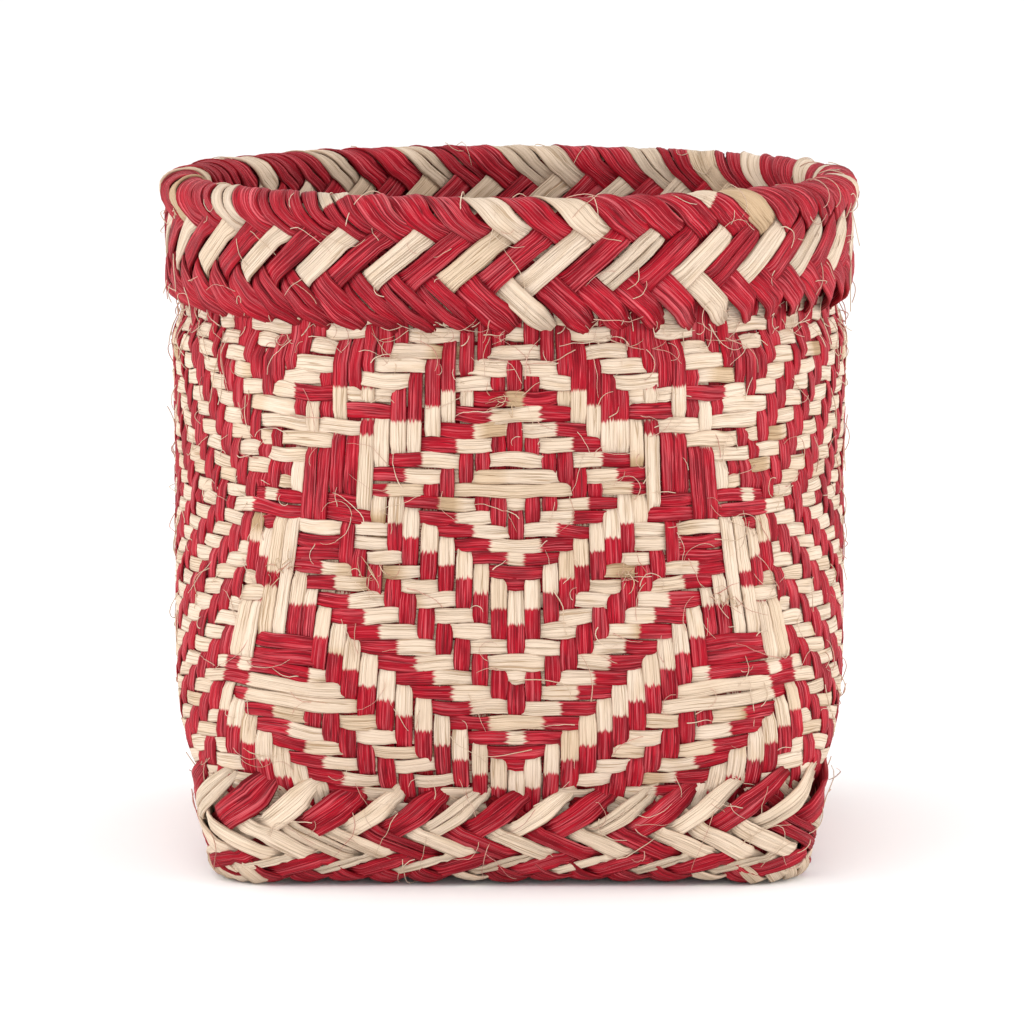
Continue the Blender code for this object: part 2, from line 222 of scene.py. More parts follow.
# How far a spot reaches, in columns and in millimetres, how brown it is, how far its fibres are spread,
# in columns and in height, how brown they are and how long against others
FRAY_REACH = 2.6
FRAY_TONE = 1.9
FRAY_COLUMNS, FRAY_HEIGHTS = 0.5, 1.0 * MM
FRAY_TONES = (0.9, 1.7)
FRAY_LENGTH = 0.45

# Undyed strands, by number round the basket. The others are red, and the brown ones are undyed and old
RIM_NATURAL_ABOVE = (47, 55, 1, 12, 17, 20, 22, 24, 27, 28, 31, 34, 37, 41)
RIM_NATURAL_BELOW = (53, 2, 19, 33)
RIM_BROWN = (6, 44)
RIM_BARE_ON_TOP = (51, 5, 15)
FOOT_NATURAL_TOO = (47, 49, 3, 19, 31)
# At which travel a rim strand may change its dye, and how far to both sides of the top it may be bare
RIM_DYE_CHANGE, RIM_BARE_REACH = 2.0, 0.4
BROWN_TONE = 1.75
# The share of the foot's strands that are red in their last row, and how brown its strands are at most,
# kept low partly as painted light, so that the foot's undyed strands read lighter
FOOT_RED_END_SHARE = 0.6
FOOT_TONE = 0.4

# Strips round a corner: how many, how far apart in pitches of the braid, and in how many points
WRAP_STRIPS = 4
WRAP_PITCH = 0.5
WRAP_POINTS = 24
# Where on its way a strip is at its place in the row, and how far it strays to the side and lengthwise
WRAP_MIDDLE = 0.35
WRAP_WANDER, WRAP_WANDER_SCALE = 0.04, 0.4
WRAP_STRAY = 0.4 * MM
# How far it stands off the foot braid, more between its ends and from strip to strip, and off the floor
WRAP_CLEARANCE = 0.6 * MM
WRAP_BULGE = 0.35 * MM
WRAP_STEP, WRAP_STEP_ANGLE = 0.15 * MM, 2.1
WRAP_FLOOR_GAP = 0.45 * MM
# Over which share of its way an end narrows and to which width, how high it starts and how fast it rises
WRAP_END_SHARE, WRAP_END_WIDTH = 0.2, 0.5
WRAP_START_HEIGHT, WRAP_RISE_SPEED = 0.3, 1.6
# A strip's least and greatest tone, how far its ends count as tucked, which darkens them as painted shade,
# and how far it tips at most
WRAP_TONES = (0.2, 1.1)
WRAP_TUCK = 0.4
WRAP_ROLL = 0.15

# Loose fibres: from how many to below how many points one has, the root of its least rise, the share of
# them that arch back to the weave, the share that the dye has stained and how far, their width, how much
# thinner one gets to its end, and how brown they are
HAIR_POINTS = (7, 14)
HAIR_LEAST_RISE = 0.2
HAIR_ARCHED_SHARE = 0.7
HAIR_STAINED_SHARE, HAIR_STAIN = 0.4, 0.42
HAIR_WIDTHS = (0.6, 1.3)
HAIR_TAPER = 0.6
HAIR_TONES = (0.0, 0.8)

# The grain of the fibre: how fast each kind of line changes across a strip and along it, and its detail
GRAIN = {
    "Streak": (5.0, 45.0, 2.0),
    "Hair": (15.0, 150.0, 2.0),
    "Blotch": (0.8, 140.0, 3.0),
    "Crack": (2.6, 22.0, 1.0),
}
# How values become masks: between which two a value is taken, and what the mask is at the one and the
# other
MASKS = {
    "crack": (0.006, 0.026, 1.0, 0.0),
    "dyed": (0.34, 0.6, 0.0, 1.0),
    "fine lines": (0.54, 0.36, 0.0, 0.5),
    "worn streaks": (0.5, 0.7, 0.0, 1.0),
    "worn ridges": (0.0, 1.0, 0.6, 1.0),
    "worn fibres": (0.59, 0.68, 0.0, 0.6),
    "deep red": (0.4, 0.65, 0.0, 0.6),
    "tan": (0.48, 0.75, 0.0, 0.5),
    "old": (1.4, 2.2, 0.0, 0.6),
    "brown lines": (0.0, 1.5, 0.68, 1.0),
    # Painted shade where a strip is tucked under others and along its edges, half as strong on undyed
    # strips
    "painted_crevice_shade": (0.35, 1.0, 0.0, 0.8),
    "painted_edge_shade": (0.78, 1.0, 0.0, 0.65),
    "painted_shade_by_dye": (0.0, 1.0, 0.5, 1.0),
    "inside": (-10 * MM, -50 * MM, 0.0, 0.4),
    # Painted highlight: more worn red on faces that look up
    "painted top highlight": (0.2, 0.9, 0.0, 0.7),
    "roughness": (0.3, 0.7, 0.72, 0.5),
}
# How ragged the edge of the dye is, how dark the cracks are and the lines on red, and how much a strip's
# tone tans it
DYE_RAGGEDNESS = 1.2
CRACK_DARKNESS, RED_LINES = 0.95, 0.95
TONE_TAN = 0.5
# The colour multiplied in as painted shade
SHADE_COLOUR = (0.46, 0.32, 0.26, 1)
SPECULAR = 0.13
# The relief's depth, and what the fine lines add to it and the cracks take away, against the broad lines
RELIEF_DEPTH = 0.4 * MM
RELIEF_HAIR, RELIEF_CRACK = 0.4, 0.5
# How far apart the grain of two strands may be
STRAND_SPREAD = 91.7

# The stage: how far the camera stands to the right, the floor's half width, and each lamp's name, place,
# power and size, with the spot that they all shine at
CAMERA_ASIDE = 0.51 * MM
FLOOR_REACH = 4
LAMPS = (
    ("key", (-0.5, -1.0, 1.5), 5, 1.2),
    ("front", (0.1, -1.6, 0.15), 7.4, 0.8),
    ("left", (-1.3, -0.1, 0.35), 9.5, 1.0),
    ("right", (1.3, -0.1, 0.35), 9.5, 1.0),
)
LAMP_AIM = (0, 0, 0.07)


def smooth_step(share):
    """Rises smoothly from 0 to 1."""
    share = np.clip(share, 0.0, 1.0)
    return share * share * (3 - 2 * share)


def wall_half_width(z):
    """Half the width of the wall's outside at a height, as in the solids."""
    foot = (z - FOOT_BEND_START) / (FOOT_BRAID_TOP - FOOT_BEND_START)
    below = FOOT_HALF_WIDTH + (FOOT_TOP_HALF_WIDTH - FOOT_HALF_WIDTH) * np.clip(foot, 0, 1)
    flare = 1 - (1 - np.clip((z - FOOT_BRAID_TOP) / FLARE_HEIGHT, 0, 1)) ** FLARE_SHARPNESS
    climb = (z - FOOT_BRAID_TOP) / (RIM_BRAID_FOOT - FOOT_BRAID_TOP)
    width = FOOT_TOP_HALF_WIDTH + (SHOULDER_HALF_WIDTH - FOOT_TOP_HALF_WIDTH) * flare
    width = width + (BELLY_HALF_WIDTH - SHOULDER_HALF_WIDTH) * climb
    neck = smooth_step((z - RIM_BRAID_FOOT + NECK_HEIGHT) / NECK_HEIGHT)
    return np.where(z < FOOT_BRAID_TOP, below, width + (RIM_WALL_RADIUS - width) * neck)


def wall_corner_radius(z):
    """The corners' radius at a height: they open out from a rounded square at the foot to a circle."""
    share = np.clip((z - FOOT_BRAID_TOP) / (RIM_BRAID_FOOT - FOOT_BRAID_TOP), 0, 1)
    return wall_half_width(z) * (FOOT_CORNER_SHARE + (1 - FOOT_CORNER_SHARE) * (1 - (1 - share) ** 2))


def wall_perimeter(z):
    """The way round the wall's outside at a height."""
    half, radius = wall_half_width(z), wall_corner_radius(z)
    return 8 * (half - radius) + 2 * math.pi * radius


def wall_place(turn, z, outward=0.0):
    """Points outward of the wall's outside. Below its bend the foot's outline goes straight down."""
    turn, z, outward = np.broadcast_arrays(*(np.asarray(value, float) for value in (turn, z, outward)))
    level = np.maximum(z, FOOT_BEND_START)
    half, radius = wall_half_width(level), wall_corner_radius(level)
    face = np.round(turn * 4)
    flat = half - radius
    along = (turn * 4 - face) * (2 * flat + radius * math.pi / 2)
    angle = np.maximum(np.abs(along) - flat, 0) / radius
    normal_x, normal_y = np.sign(along) * np.sin(angle), -np.cos(angle)
    x = np.sign(along) * np.minimum(np.abs(along), flat) + normal_x * (radius + outward)
    y = -flat + normal_y * (radius + outward)
    cosine, sine = np.cos(face * math.pi / 2), np.sin(face * math.pi / 2)
    return np.stack([x * cosine - y * sine, x * sine + y * cosine, z], -1)


def corner_rise(turn):
    """How much higher the foot braid's top edge is at a turn, as it climbs to each corner."""
    from_middle = np.abs(turn * 4 - np.round(turn * 4))
    return FOOT_CORNER_RISE * smooth_step((from_middle - FOOT_RISE_START) / (0.5 - FOOT_RISE_START))


def row_height(row, turn):
    """A row's height. The lowest rows above the foot braid climb to the corners with it."""
    close = np.clip((row - CLOSE_ROWS_START) / (CLOSE_ROWS_END - CLOSE_ROWS_START), 0, 1)
    z = ROW_ZERO_HEIGHT - ROW_PITCH * (row - close)
    above = 1 - smooth_step((z - CLIMB_FULL) / CLIMB_FADE)
    below = smooth_step((z - FOOT_BEND_START) / (FOOT_BRAID_TOP - FOOT_BEND_START))
    return z + corner_rise(turn) * above * below


def rim_surface(turn, up):
    """The middle of the rim braid's thickness. up is 0 on top, less outside and more in the mouth."""
    down, quarter = -up, RIM_ROLL_RADIUS * math.pi / 2
    angle = np.clip(down, -quarter, quarter) / RIM_ROLL_RADIUS
    beyond = np.maximum(np.abs(down) - quarter, 0)
    swell = ROLL_SWELL * (1 - smooth_step(beyond / ROLL_SWELL_REACH)) * np.maximum(np.sin(angle), 0)
    level = wall_place(turn, RIM_BRAID_FOOT, RIM_ROLL_CENTRE + RIM_ROLL_RADIUS * np.sin(angle) + swell)
    level[..., 2] = RIM_ROLL_HEIGHT + RIM_ROLL_RADIUS * np.cos(angle) - beyond
    return level


def foot_surface(turn, up):
    """The middle of the foot braid's thickness. It hangs down the wall, then bends under the edge."""
    straight = FOOT_BRAID_TOP - FOOT_BEND_START
    radius = FOOT_BEND_RADIUS + BRAID_DEPTH
    bend = np.clip(-up - straight, 0, radius * math.pi) / radius
    z = FOOT_BEND_START + (straight + corner_rise(turn)) * np.maximum(1 + up / straight, 0)
    level = wall_place(turn, z, radius * np.cos(bend) - FOOT_BEND_RADIUS)
    level[..., 2] -= radius * np.sin(bend) + FOOT_BRAID_DROP * np.clip(-up / straight, 0, 1)
    return level


def stake_turn(number):
    """Where a stake stands. They are a little wider apart in the middle of a face than at its corners."""
    turn = number / STAKES
    in_face = turn * 4 - np.round(turn * 4)
    aside = PATTERN_SHIFT * smooth_step((SHIFT_END - np.abs(in_face) * STAKES_PER_FACE) / SHIFT_FADE)
    return turn + MIDDLE_STRETCH * np.sin(2 * math.pi * in_face) / (8 * math.pi) + aside


def stand_off(surface, turn, up, outward):
    """Points at a distance from a surface, square to it, and the directions outwards and along it there."""
    small_turn, small_up = 1e-4, 0.05 * MM
    here = surface(turn, up)
    along = surface(turn + small_turn, up) - surface(turn - small_turn, up)
    rising = surface(turn, up + small_up) - surface(turn, up - small_up)
    normal = unit(np.cross(along, rising))
    return here + normal * np.asarray(outward)[..., None], normal, unit(along)


def unit(vectors):
    """The vectors, each one unit long."""
    return vectors / np.maximum(np.linalg.norm(vectors, axis=-1, keepdims=True), 1e-12)


def path_directions(places, closed):
    """The direction of a path at each of its points, halfway between those of its neighbours."""
    forward = unit(np.roll(places, -1, 0) - places)
    backward = np.roll(forward, 1, 0)
    if not closed:
        forward[-1], backward[0] = backward[-1], forward[0]
    return unit(forward + backward)


def slow_wave(rng, distance, scale):
    """A smooth random wander along a path, between about -1 and 1, by each point's distance along it."""
    wave = 0
    for stretch, size in WAVES:
        wave = wave + size * np.sin(distance / (scale * stretch) + rng.uniform(0, 2 * math.pi))
    return wave / 2


def ring_waves(rng, circle, count, least, most, divisor):
    """Random waves that close round the basket, as their sum divided by a number."""
    wave = 0
    for _ in range(count):
        wave = wave + np.sin(circle * rng.integers(least, most) + rng.uniform(0, 2 * math.pi))
    return wave / divisor


class StripPaths:
    """Paths of many strips. Each point carries the strip's face direction, half width, dye, tone and tuck.

    dye is 0 for natural and 1 for red, tone is how brown the strip is, and tuck how far it is covered,
    which darkens its colour as painted shade.
    seed starts the random numbers of these paths.
    """

    KINDS = ("half_width", "dye", "tone", "tuck", "strand")

    def __init__(self, seed):
        self.rng = np.random.default_rng(seed)
        self.places, self.faces, self.edges = [], [], []
        self.values = {kind: [] for kind in self.KINDS}
        self.count = 0

    def add(self, places, faces, half_width, dye, tone=0.0, tuck=0.0, closed=False, roll=0.0):
        """Adds a strip's path. roll tips the strip about it, in radians at each point."""
        tangent = path_directions(places, closed)
        faces = unit(faces - tangent * np.sum(faces * tangent, -1, keepdims=True))
        side = np.cross(tangent, faces)
        roll = np.broadcast_to(roll, len(places))[:, None]
        faces = faces * np.cos(roll) + side * np.sin(roll)
        size = len(places)
        index = np.arange(size) + self.count
        ends = np.roll(index, -1)
        pairs = np.stack([index, ends], 1)
        self.edges.append(pairs if closed else pairs[:-1])
        self.places.append(places)
        self.faces.append(faces)
        given = {"half_width": half_width, "dye": dye, "tone": tone, "tuck": tuck}
        given["strand"] = self.rng.uniform(0, 1)
        for kind, value in given.items():
            self.values[kind].append(np.broadcast_to(value, size).astype(float))
        self.count += size

    def mesh(self, name):
        """All the paths as edges, whose points carry what the strips do."""
        mesh = bpy.data.meshes.new(name)
        places = np.concatenate(self.places)
        edges = np.concatenate(self.edges)
        mesh.vertices.add(len(places))
        mesh.vertices.foreach_set("co", places.astype(np.float32).ravel())
        mesh.edges.add(len(edges))
        mesh.edges.foreach_set("vertices", edges.astype(np.int32).ravel())
        faces = mesh.attributes.new("face", "FLOAT_VECTOR", "POINT")
        faces.data.foreach_set("vector", np.concatenate(self.faces).astype(np.float32).ravel())
        for kind, parts in self.values.items():
            attribute = mesh.attributes.new(kind, "FLOAT", "POINT")
            attribute.data.foreach_set("value", np.concatenate(parts).astype(np.float32))
        mesh.update()
        return mesh


def add_node(tree, kind, inputs=None, **settings):
    """A new node with its settings. Each of the inputs named here is linked to a socket or gets a value."""
    node = tree.nodes.new(kind)
    for name, value in settings.items():
        setattr(node, name, value)
    for name, value in (inputs or {}).items():
        if isinstance(value, bpy.types.NodeSocket):
            tree.links.new(value, node.inputs[name])
        else:
            node.inputs[name].default_value = value
    return node


def math_node(tree, operation, *values, kind="ShaderNodeMath"):
    """The result of a math node on some values, each a socket or a number."""
    return add_node(tree, kind, dict(enumerate(values)), operation=operation).outputs[0]


def product(tree, first, second):
    """Two values multiplied, each a socket or a number."""
    return math_node(tree, "MULTIPLY", first, second)


def new_tree(name, kind, inputs, outputs):
    """A node tree with its sockets, each as a name and a kind, and what goes in and out inside it."""
    tree = bpy.data.node_groups.new(name, kind)
    for way, sockets in (("INPUT", inputs), ("OUTPUT", outputs)):
        for label, socket in sockets.items():
            tree.interface.new_socket(label, in_out=way, socket_type=f"NodeSocket{socket}")
    return tree, tree.nodes.new("NodeGroupInput").outputs, tree.nodes.new("NodeGroupOutput").inputs


def shared_tree(name, build):
    """A node tree that several pieces use, built when it is first asked for."""
    return bpy.data.node_groups.get(name) or build(name)


def named_value(tree, name, kind="FLOAT"):
    """What the points carry under a name."""
    node = add_node(tree, "GeometryNodeInputNamedAttribute", {"Name": name}, data_type=kind)
    return node.outputs["Attribute"]


def stored_value(tree, geometry, name, value):
    """The same geometry, whose points carry a value under a name."""
    inputs = {"Geometry": geometry, "Name": name, "Value": value}
    node = add_node(tree, "GeometryNodeStoreNamedAttribute", inputs, data_type="FLOAT", domain="POINT")
    return node.outputs["Geometry"]


def strip_section(tree, ridges, ridge_depth):
    """The outline that is swept: a flat strip with ridges, one unit from its middle to each edge.

    Its x becomes the strip's thickness and its y its width.
    """
    # Each ridge takes two points of the outline and one of its waves on either side of the strip
    circle = add_node(tree, "GeometryNodeCurvePrimitiveCircle", {"Resolution": product(tree, ridges, 4.0)})
    position = tree.nodes.new("GeometryNodeInputPosition").outputs[0]
    place = add_node(tree, "ShaderNodeSeparateXYZ", {0: position}).outputs
    angle = math_node(tree, "ARCTAN2", place["X"], place["Y"])
    waves = math_node(tree, "COSINE", product(tree, angle, product(tree, ridges, 2.0)))
    ridge = math_node(tree, "MULTIPLY_ADD", waves, -0.5, 0.5)
    bulge = math_node(tree, "POWER", math_node(tree, "ABSOLUTE", place["X"]), SECTION_ROUNDNESS)
    worn = product(tree, math_node(tree, "SUBTRACT", 1.0, ridge), ridge_depth)
    lift = product(tree, bulge, math_node(tree, "SUBTRACT", 1.0, worn))
    lift = product(tree, lift, math_node(tree, "SIGN", place["X"]))
    section = circle.outputs["Curve"]
    for name, value in (("ridge", ridge), ("lift", lift), ("across", place["Y"])):
        section = stored_value(tree, section, name, value)
    lifted, across = (named_value(tree, name) for name in ("lift", "across"))
    flat = add_node(tree, "ShaderNodeCombineXYZ", {"X": lifted, "Y": across}).outputs[0]
    return add_node(tree, "GeometryNodeSetPosition", {"Geometry": section, "Position": flat}).outputs[0]


def strip_sweep(name):
    """Sweeps a ridged strip along each path, which gives its half width. The rest is given here."""
    inputs = {
        "Paths": "Geometry",
        "Thickness": "Float",
        "Ridges": "Int",
        "Ridge Depth": "Float",
        "Material": "Material",
    }
    tree, given, made = new_tree(name, "GeometryNodeTree", inputs, {"Strips": "Geometry"})
    curve = add_node(tree, "GeometryNodeMeshToCurve", {"Mesh": given["Paths"]}).outputs["Curve"]
    normal = named_value(tree, "face", "FLOAT_VECTOR")
    facing = add_node(tree, "GeometryNodeSetCurveNormal", {"Curve": curve, "Normal": normal}, mode="FREE")
    along = tree.nodes.new("GeometryNodeSplineParameter").outputs["Length"]
    half_width = named_value(tree, "half_width")
    inputs = {
        "Curve": stored_value(tree, facing.outputs["Curve"], "along", along),
        "Profile Curve": strip_section(tree, given["Ridges"], given["Ridge Depth"]),
        "Scale": half_width,
        "Fill Caps": True,
    }
    strips = add_node(tree, "GeometryNodeCurveToMesh", inputs).outputs["Mesh"]
    spare = math_node(tree, "SUBTRACT", product(tree, given["Thickness"], 0.5), half_width)
    push = product(tree, spare, named_value(tree, "lift"))
    move = add_node(tree, "ShaderNodeVectorMath", {0: normal, "Scale": push}, operation="SCALE").outputs[0]
    for kind, more in (
        ("GeometryNodeSetPosition", {"Offset": move}),
        ("GeometryNodeSetShadeSmooth", {}),
        ("GeometryNodeRealizeInstances", {}),
        ("GeometryNodeSetMaterial", {"Material": given["Material"]}),
    ):
        strips = add_node(tree, kind, {"Geometry": strips, **more}).outputs["Geometry"]
    tree.links.new(strips, made["Strips"])
    return tree


def section_of(look):
    """The thickness, the ridges and their depth that the settings of a kind of strip give."""
    return look.thickness, look.ridges, look.ridge_depth


def swept_object(name, paths, material, thickness, ridges, ridge_depth):
    """The strips of these paths as one plain mesh object, with nothing left live on it."""
    tree = shared_tree("Strip sweep", strip_sweep)
    obj = bpy.data.objects.new(name, paths.mesh(name))
    bpy.context.scene.collection.objects.link(obj)
    modifier = obj.modifiers.new("Strip sweep", "NODES")
    modifier.node_group = tree
    values = {"Thickness": thickness, "Ridges": ridges, "Ridge Depth": ridge_depth, "Material": material}
    for item in tree.interface.items_tree:
        if item.in_out == "INPUT" and item.name in values:
            modifier[item.identifier] = values[item.name]
    depsgraph = bpy.context.evaluated_depsgraph_get()
    mesh = bpy.data.meshes.new_from_object(obj.evaluated_get(depsgraph), depsgraph=depsgraph)
    obj.modifiers.remove(modifier)
    paths_mesh = obj.data
    obj.data = mesh
    mesh.name = name
    bpy.data.meshes.remove(paths_mesh)
    for spare in ("lift", "face", "half_width"):
        attribute = mesh.attributes.get(spare)
        if attribute:
            mesh.attributes.remove(attribute)
    return obj


def add_piece(name, paths, material, section, slot, *nodes):
    """The strips of these paths, which ride on the basket and stand for the solids that they cover."""
    piece = swept_object(name, paths, material, *section)
    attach(piece, "root")
    if nodes:
        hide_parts(*nodes)


def front_crossing(column, row):
    """Whether the stake lies on top of a weaver on the front or back, and whether what is on top is red.

    The rings are diamonds round the middle. Above it the outer ones are plain bands.
    """
    start = UNEVEN_ROWS.get(row, -row - 1 if row < 0 else row)
    ring = max(abs(column) + start, 0)
    if row <= BANDS_BOTTOM_ROW and ring >= BAND_START:
        stake_on_top = (ring - BAND_START) // BAND_WIDTH % 2 == 0
        return stake_on_top, stake_on_top
    if row <= TOP_STAKES_ROW:
        return ring < TOP_STAKES_RINGS, ring < TOP_STAKES_RINGS
    ring %= RING_CYCLE
    return ring in STAKE_RINGS, ring in RED_RINGS


def stray_crossing(column, row):
    """The same where the front strays from its rings, or nothing where it keeps to them."""
    for strip, blocks in STRAY_BLOCKS.items():
        for first, last, top, bottom in blocks:
            if first <= abs(column) <= last and top <= row <= bottom:
                return "stake" in strip, "red" in strip
    return None


def side_crossing(column, row):
    """The same on the left and right: diamonds two crossings wide, of red stakes and natural weavers."""
    stake_on_top = (abs(column) + abs(row - SIDE_MIDDLE_ROW)) % 4 >= 2
    return stake_on_top, stake_on_top


def floor_crossing(column, other):
    """Whether the front's stake lies below the side's, seen from inside, in the floor's own diamonds."""
    return (abs(column) + abs(other)) % 4 < 2


def soft_dye(dye, closed):
    """Dye that fades into the undyed stretches next to it, as it runs along the fibres."""
    for _ in range(DYE_SPREAD):
        before, after = np.roll(dye, 1), np.roll(dye, -1)
        if not closed:
            before[0], after[-1] = dye[0], dye[-1]
        dye = (before + 2 * dye + after) / 4
    return dye


def nearest_known(values, known, closed):
    """Fills each unknown value with that of the nearest known one."""
    size = len(values)
    spots = np.flatnonzero(known)
    if len(spots) == 0:
        return values
    gaps = np.abs(np.arange(size)[:, None] - spots[None])
    if closed:
        gaps = np.minimum(gaps, size - gaps)
    return values[spots[np.argmin(gaps, 1)]]


class WallWeave:
    """Which strip is on top at each crossing of the wall, and how each strip is dyed there."""

    def __init__(self):
        self.rows = np.arange(TOP_ROW, BOTTOM_ROW + 1)
        shape = (STAKES, len(self.rows))
        self.stake_on_top = np.zeros(shape, bool)
        red = np.zeros(shape)
        for stake in range(STAKES):
            face = (stake + OUTER_COLUMN) // STAKES_PER_FACE % 4
            column = (stake + OUTER_COLUMN) % STAKES_PER_FACE - OUTER_COLUMN
            crossing = side_crossing if face % 2 else front_crossing
            for index, row in enumerate(self.rows):
                stray = stray_crossing(column, row) if face == 0 else None
                self.stake_on_top[stake, index], red[stake, index] = stray or crossing(column, row)
        on_top = self.stake_on_top
        self.stake_dye = np.array([nearest_known(red[s], on_top[s], False) for s in range(STAKES)])
        self.weaver_dye = np.array(
            [nearest_known(red[:, r], ~on_top[:, r], True) for r in range(len(self.rows))]
        ).T


def crossing_heights(on_top, closed):
    """How a strip rides through its crossings, about -1 under and 1 over, and its share of the full width.

    Each crossing has three points.
    """
    sides = np.where(on_top, 1.0, -1.0)
    before, after = np.roll(sides, 1), np.roll(sides, -1)
    if not closed:
        before[0], after[-1] = sides[0], sides[-1]
    middle = sides * (1 + LONG_RUN_RISE * ((before == sides) & (after == sides)))
    first = np.where(before == sides, sides, sides * EDGE_HEIGHT)
    last = np.where(after == sides, sides, sides * EDGE_HEIGHT)
    heights = np.stack([first, middle, last], 1).ravel()
    return heights, np.where(np.abs(heights) < 1, EDGE_WIDTH, 1.0)


def old_patches(rng, along, share, reach):
    """Short stretches where a strip has gone brown. reach is half the length of one, in along's unit."""
    brown = np.zeros(len(along))
    for _ in range(rng.binomial(MOST_PATCHES, share)):
        spot = rng.uniform(along.min(), along.max())
        near = smooth_step(PATCH_SHARPNESS * (1 - np.abs(along - spot) / reach))
        brown = np.maximum(brown, rng.uniform(*PATCH_TONES) * near)
    return brown


def stake_on_wall(rng, weave, look, stake):
    """A stake's way down a wall, as its places, facings, half widths, dye and tuck."""
    turn = stake_turn(stake)
    stake %= STAKES
    heights, snug = crossing_heights(weave.stake_on_top[stake], False)
    z = row_height((weave.rows[:, None] + STEPS_IN_CROSSING).ravel(), turn)
    wander = slow_wave(rng, z, STAKE_WANDER_SCALE) * look.wander / wall_perimeter(z)
    place, facing, _ = stand_off(wall_place, turn + wander, z, WEAVE_DEPTH + heights * look.weave_swing)
    half_width = wall_perimeter(z) / STAKES * look.stake_share / 2 * snug
    dye = soft_dye(np.repeat(weave.stake_dye[stake], 3), False)
    return place, facing, half_width, dye, (1 - heights) / 2


def stake_round_edge(turn):
    """Where a stake turns from the wall into the floor, and how it faces there."""
    middle = wall_place(turn, FOOT_BEND_START, WEAVE_DEPTH - FLOOR_BEND_RADIUS)
    middle[2] = FLOOR_HEIGHT + FLOOR_BEND_RADIUS
    outward = WEAVE_DEPTH - FLOOR_BEND_RADIUS + FLOOR_BEND_RADIUS * np.cos(EDGE_ANGLES)
    bend = wall_place(turn, FOOT_BEND_START, outward)
    bend[:, 2] = FLOOR_HEIGHT + FLOOR_BEND_RADIUS * (1 - np.sin(EDGE_ANGLES))
    return bend, unit(bend - middle)


def stake_in_floor(rng, look, face, column, turns, base_width):
    """A stake's way through the floor, in the same form, between its turns at the two walls."""
    others = np.arange(-OUTER_COLUMN, OUTER_COLUMN + 1)
    spots = wall_place(stake_turn(others), FOOT_BEND_START, WEAVE_DEPTH)[:, 0]
    reach = abs(wall_place(stake_turn(column), FOOT_BEND_START, WEAVE_DEPTH)[1]) - FLOOR_MARGIN
    inside = np.abs(spots) < reach
    others, spots = others[inside], spots[inside]
    below = floor_crossing(column, others)
    heights, snug = crossing_heights(~below if face else below, False)
    run = (spots[:, None] + STEPS_IN_CROSSING * np.gradient(spots)[:, None]).ravel()
    ends = [wall_place(turn, FOOT_BEND_START, WEAVE_DEPTH)[face] for turn in turns]
    aside = np.interp(run, (-reach, reach), ends[::-1] if face else ends)
    aside = aside + slow_wave(rng, run, STAKE_WANDER_SCALE) * look.wander
    level = FLOOR_HEIGHT - heights * look.weave_swing
    place = np.stack([run, aside, level], 1)[::-1] if face else np.stack([aside, run, level], 1)
    facing = np.tile((0.0, 0.0, -1.0), (len(run), 1))
    return place, facing, base_width * snug, 1.0 - face, (1 - heights) / 2


def make_stake(paths, weave, look, face, column):
    """One stake: down the wall of a face, across the floor and up the wall opposite."""
    rng = paths.rng
    stakes = (face * STAKES_PER_FACE + column, (face + 2) * STAKES_PER_FACE - column)
    near, far = (stake_on_wall(rng, weave, look, stake) for stake in stakes)
    turns = [stake_turn(stake) for stake in stakes]
    near_edge, far_edge = (stake_round_edge(turn) for turn in turns)
    base_width = wall_perimeter(FOOT_BEND_START) / STAKES * look.stake_share / 2
    parts = (
        near,
        (*near_edge, base_width, near[3][-1], 0.5),
        stake_in_floor(rng, look, face, column, turns, base_width),
        (far_edge[0][::-1], far_edge[1][::-1], base_width, far[3][-1], 0.5),
        tuple(values[::-1] for values in far),
    )
    places, facings = (np.concatenate([part[index] for part in parts]) for index in (0, 1))
    half_width, dye, tuck = (
        np.concatenate([np.broadcast_to(part[index], len(part[0])) for part in parts])
        for index in (2, 3, 4)
    )
    length = np.concatenate([[0], np.cumsum(np.linalg.norm(np.diff(places, axis=0), axis=1))])
    half_width = half_width * rng.uniform(*STAKE_WIDTHS)
    half_width = half_width * (1 + STAKE_WIDTH_CHANGE * slow_wave(rng, length, STAKE_WIDTH_SCALE))
    tone = rng.uniform(0, 1) ** 3 + STAKE_TONE_CHANGE * slow_wave(rng, length, STAKE_TONE_SCALE)
    tone = tone + old_patches(rng, length, look.old_stakes, STAKE_PATCH)
    roll = slow_wave(rng, length, STAKE_TILT_SCALE) * look.tilt
    paths.add(places, facings, half_width, dye, tone=tone, tuck=tuck, roll=roll)


def frayed_tone(turn, z):
    """How brown a weaver is by the frayed spots near it."""
    tone = np.zeros(len(turn))
    for column, up in FRAYED_SPOTS:
        aside = (turn - stake_turn(column) + 0.5) % 1 - 0.5
        away = np.hypot(aside * STAKES / FRAY_REACH, (z - up) / (FRAY_REACH * MM))
        tone = np.maximum(tone, FRAY_TONE * smooth_step(2 - 2 * away))
    return tone


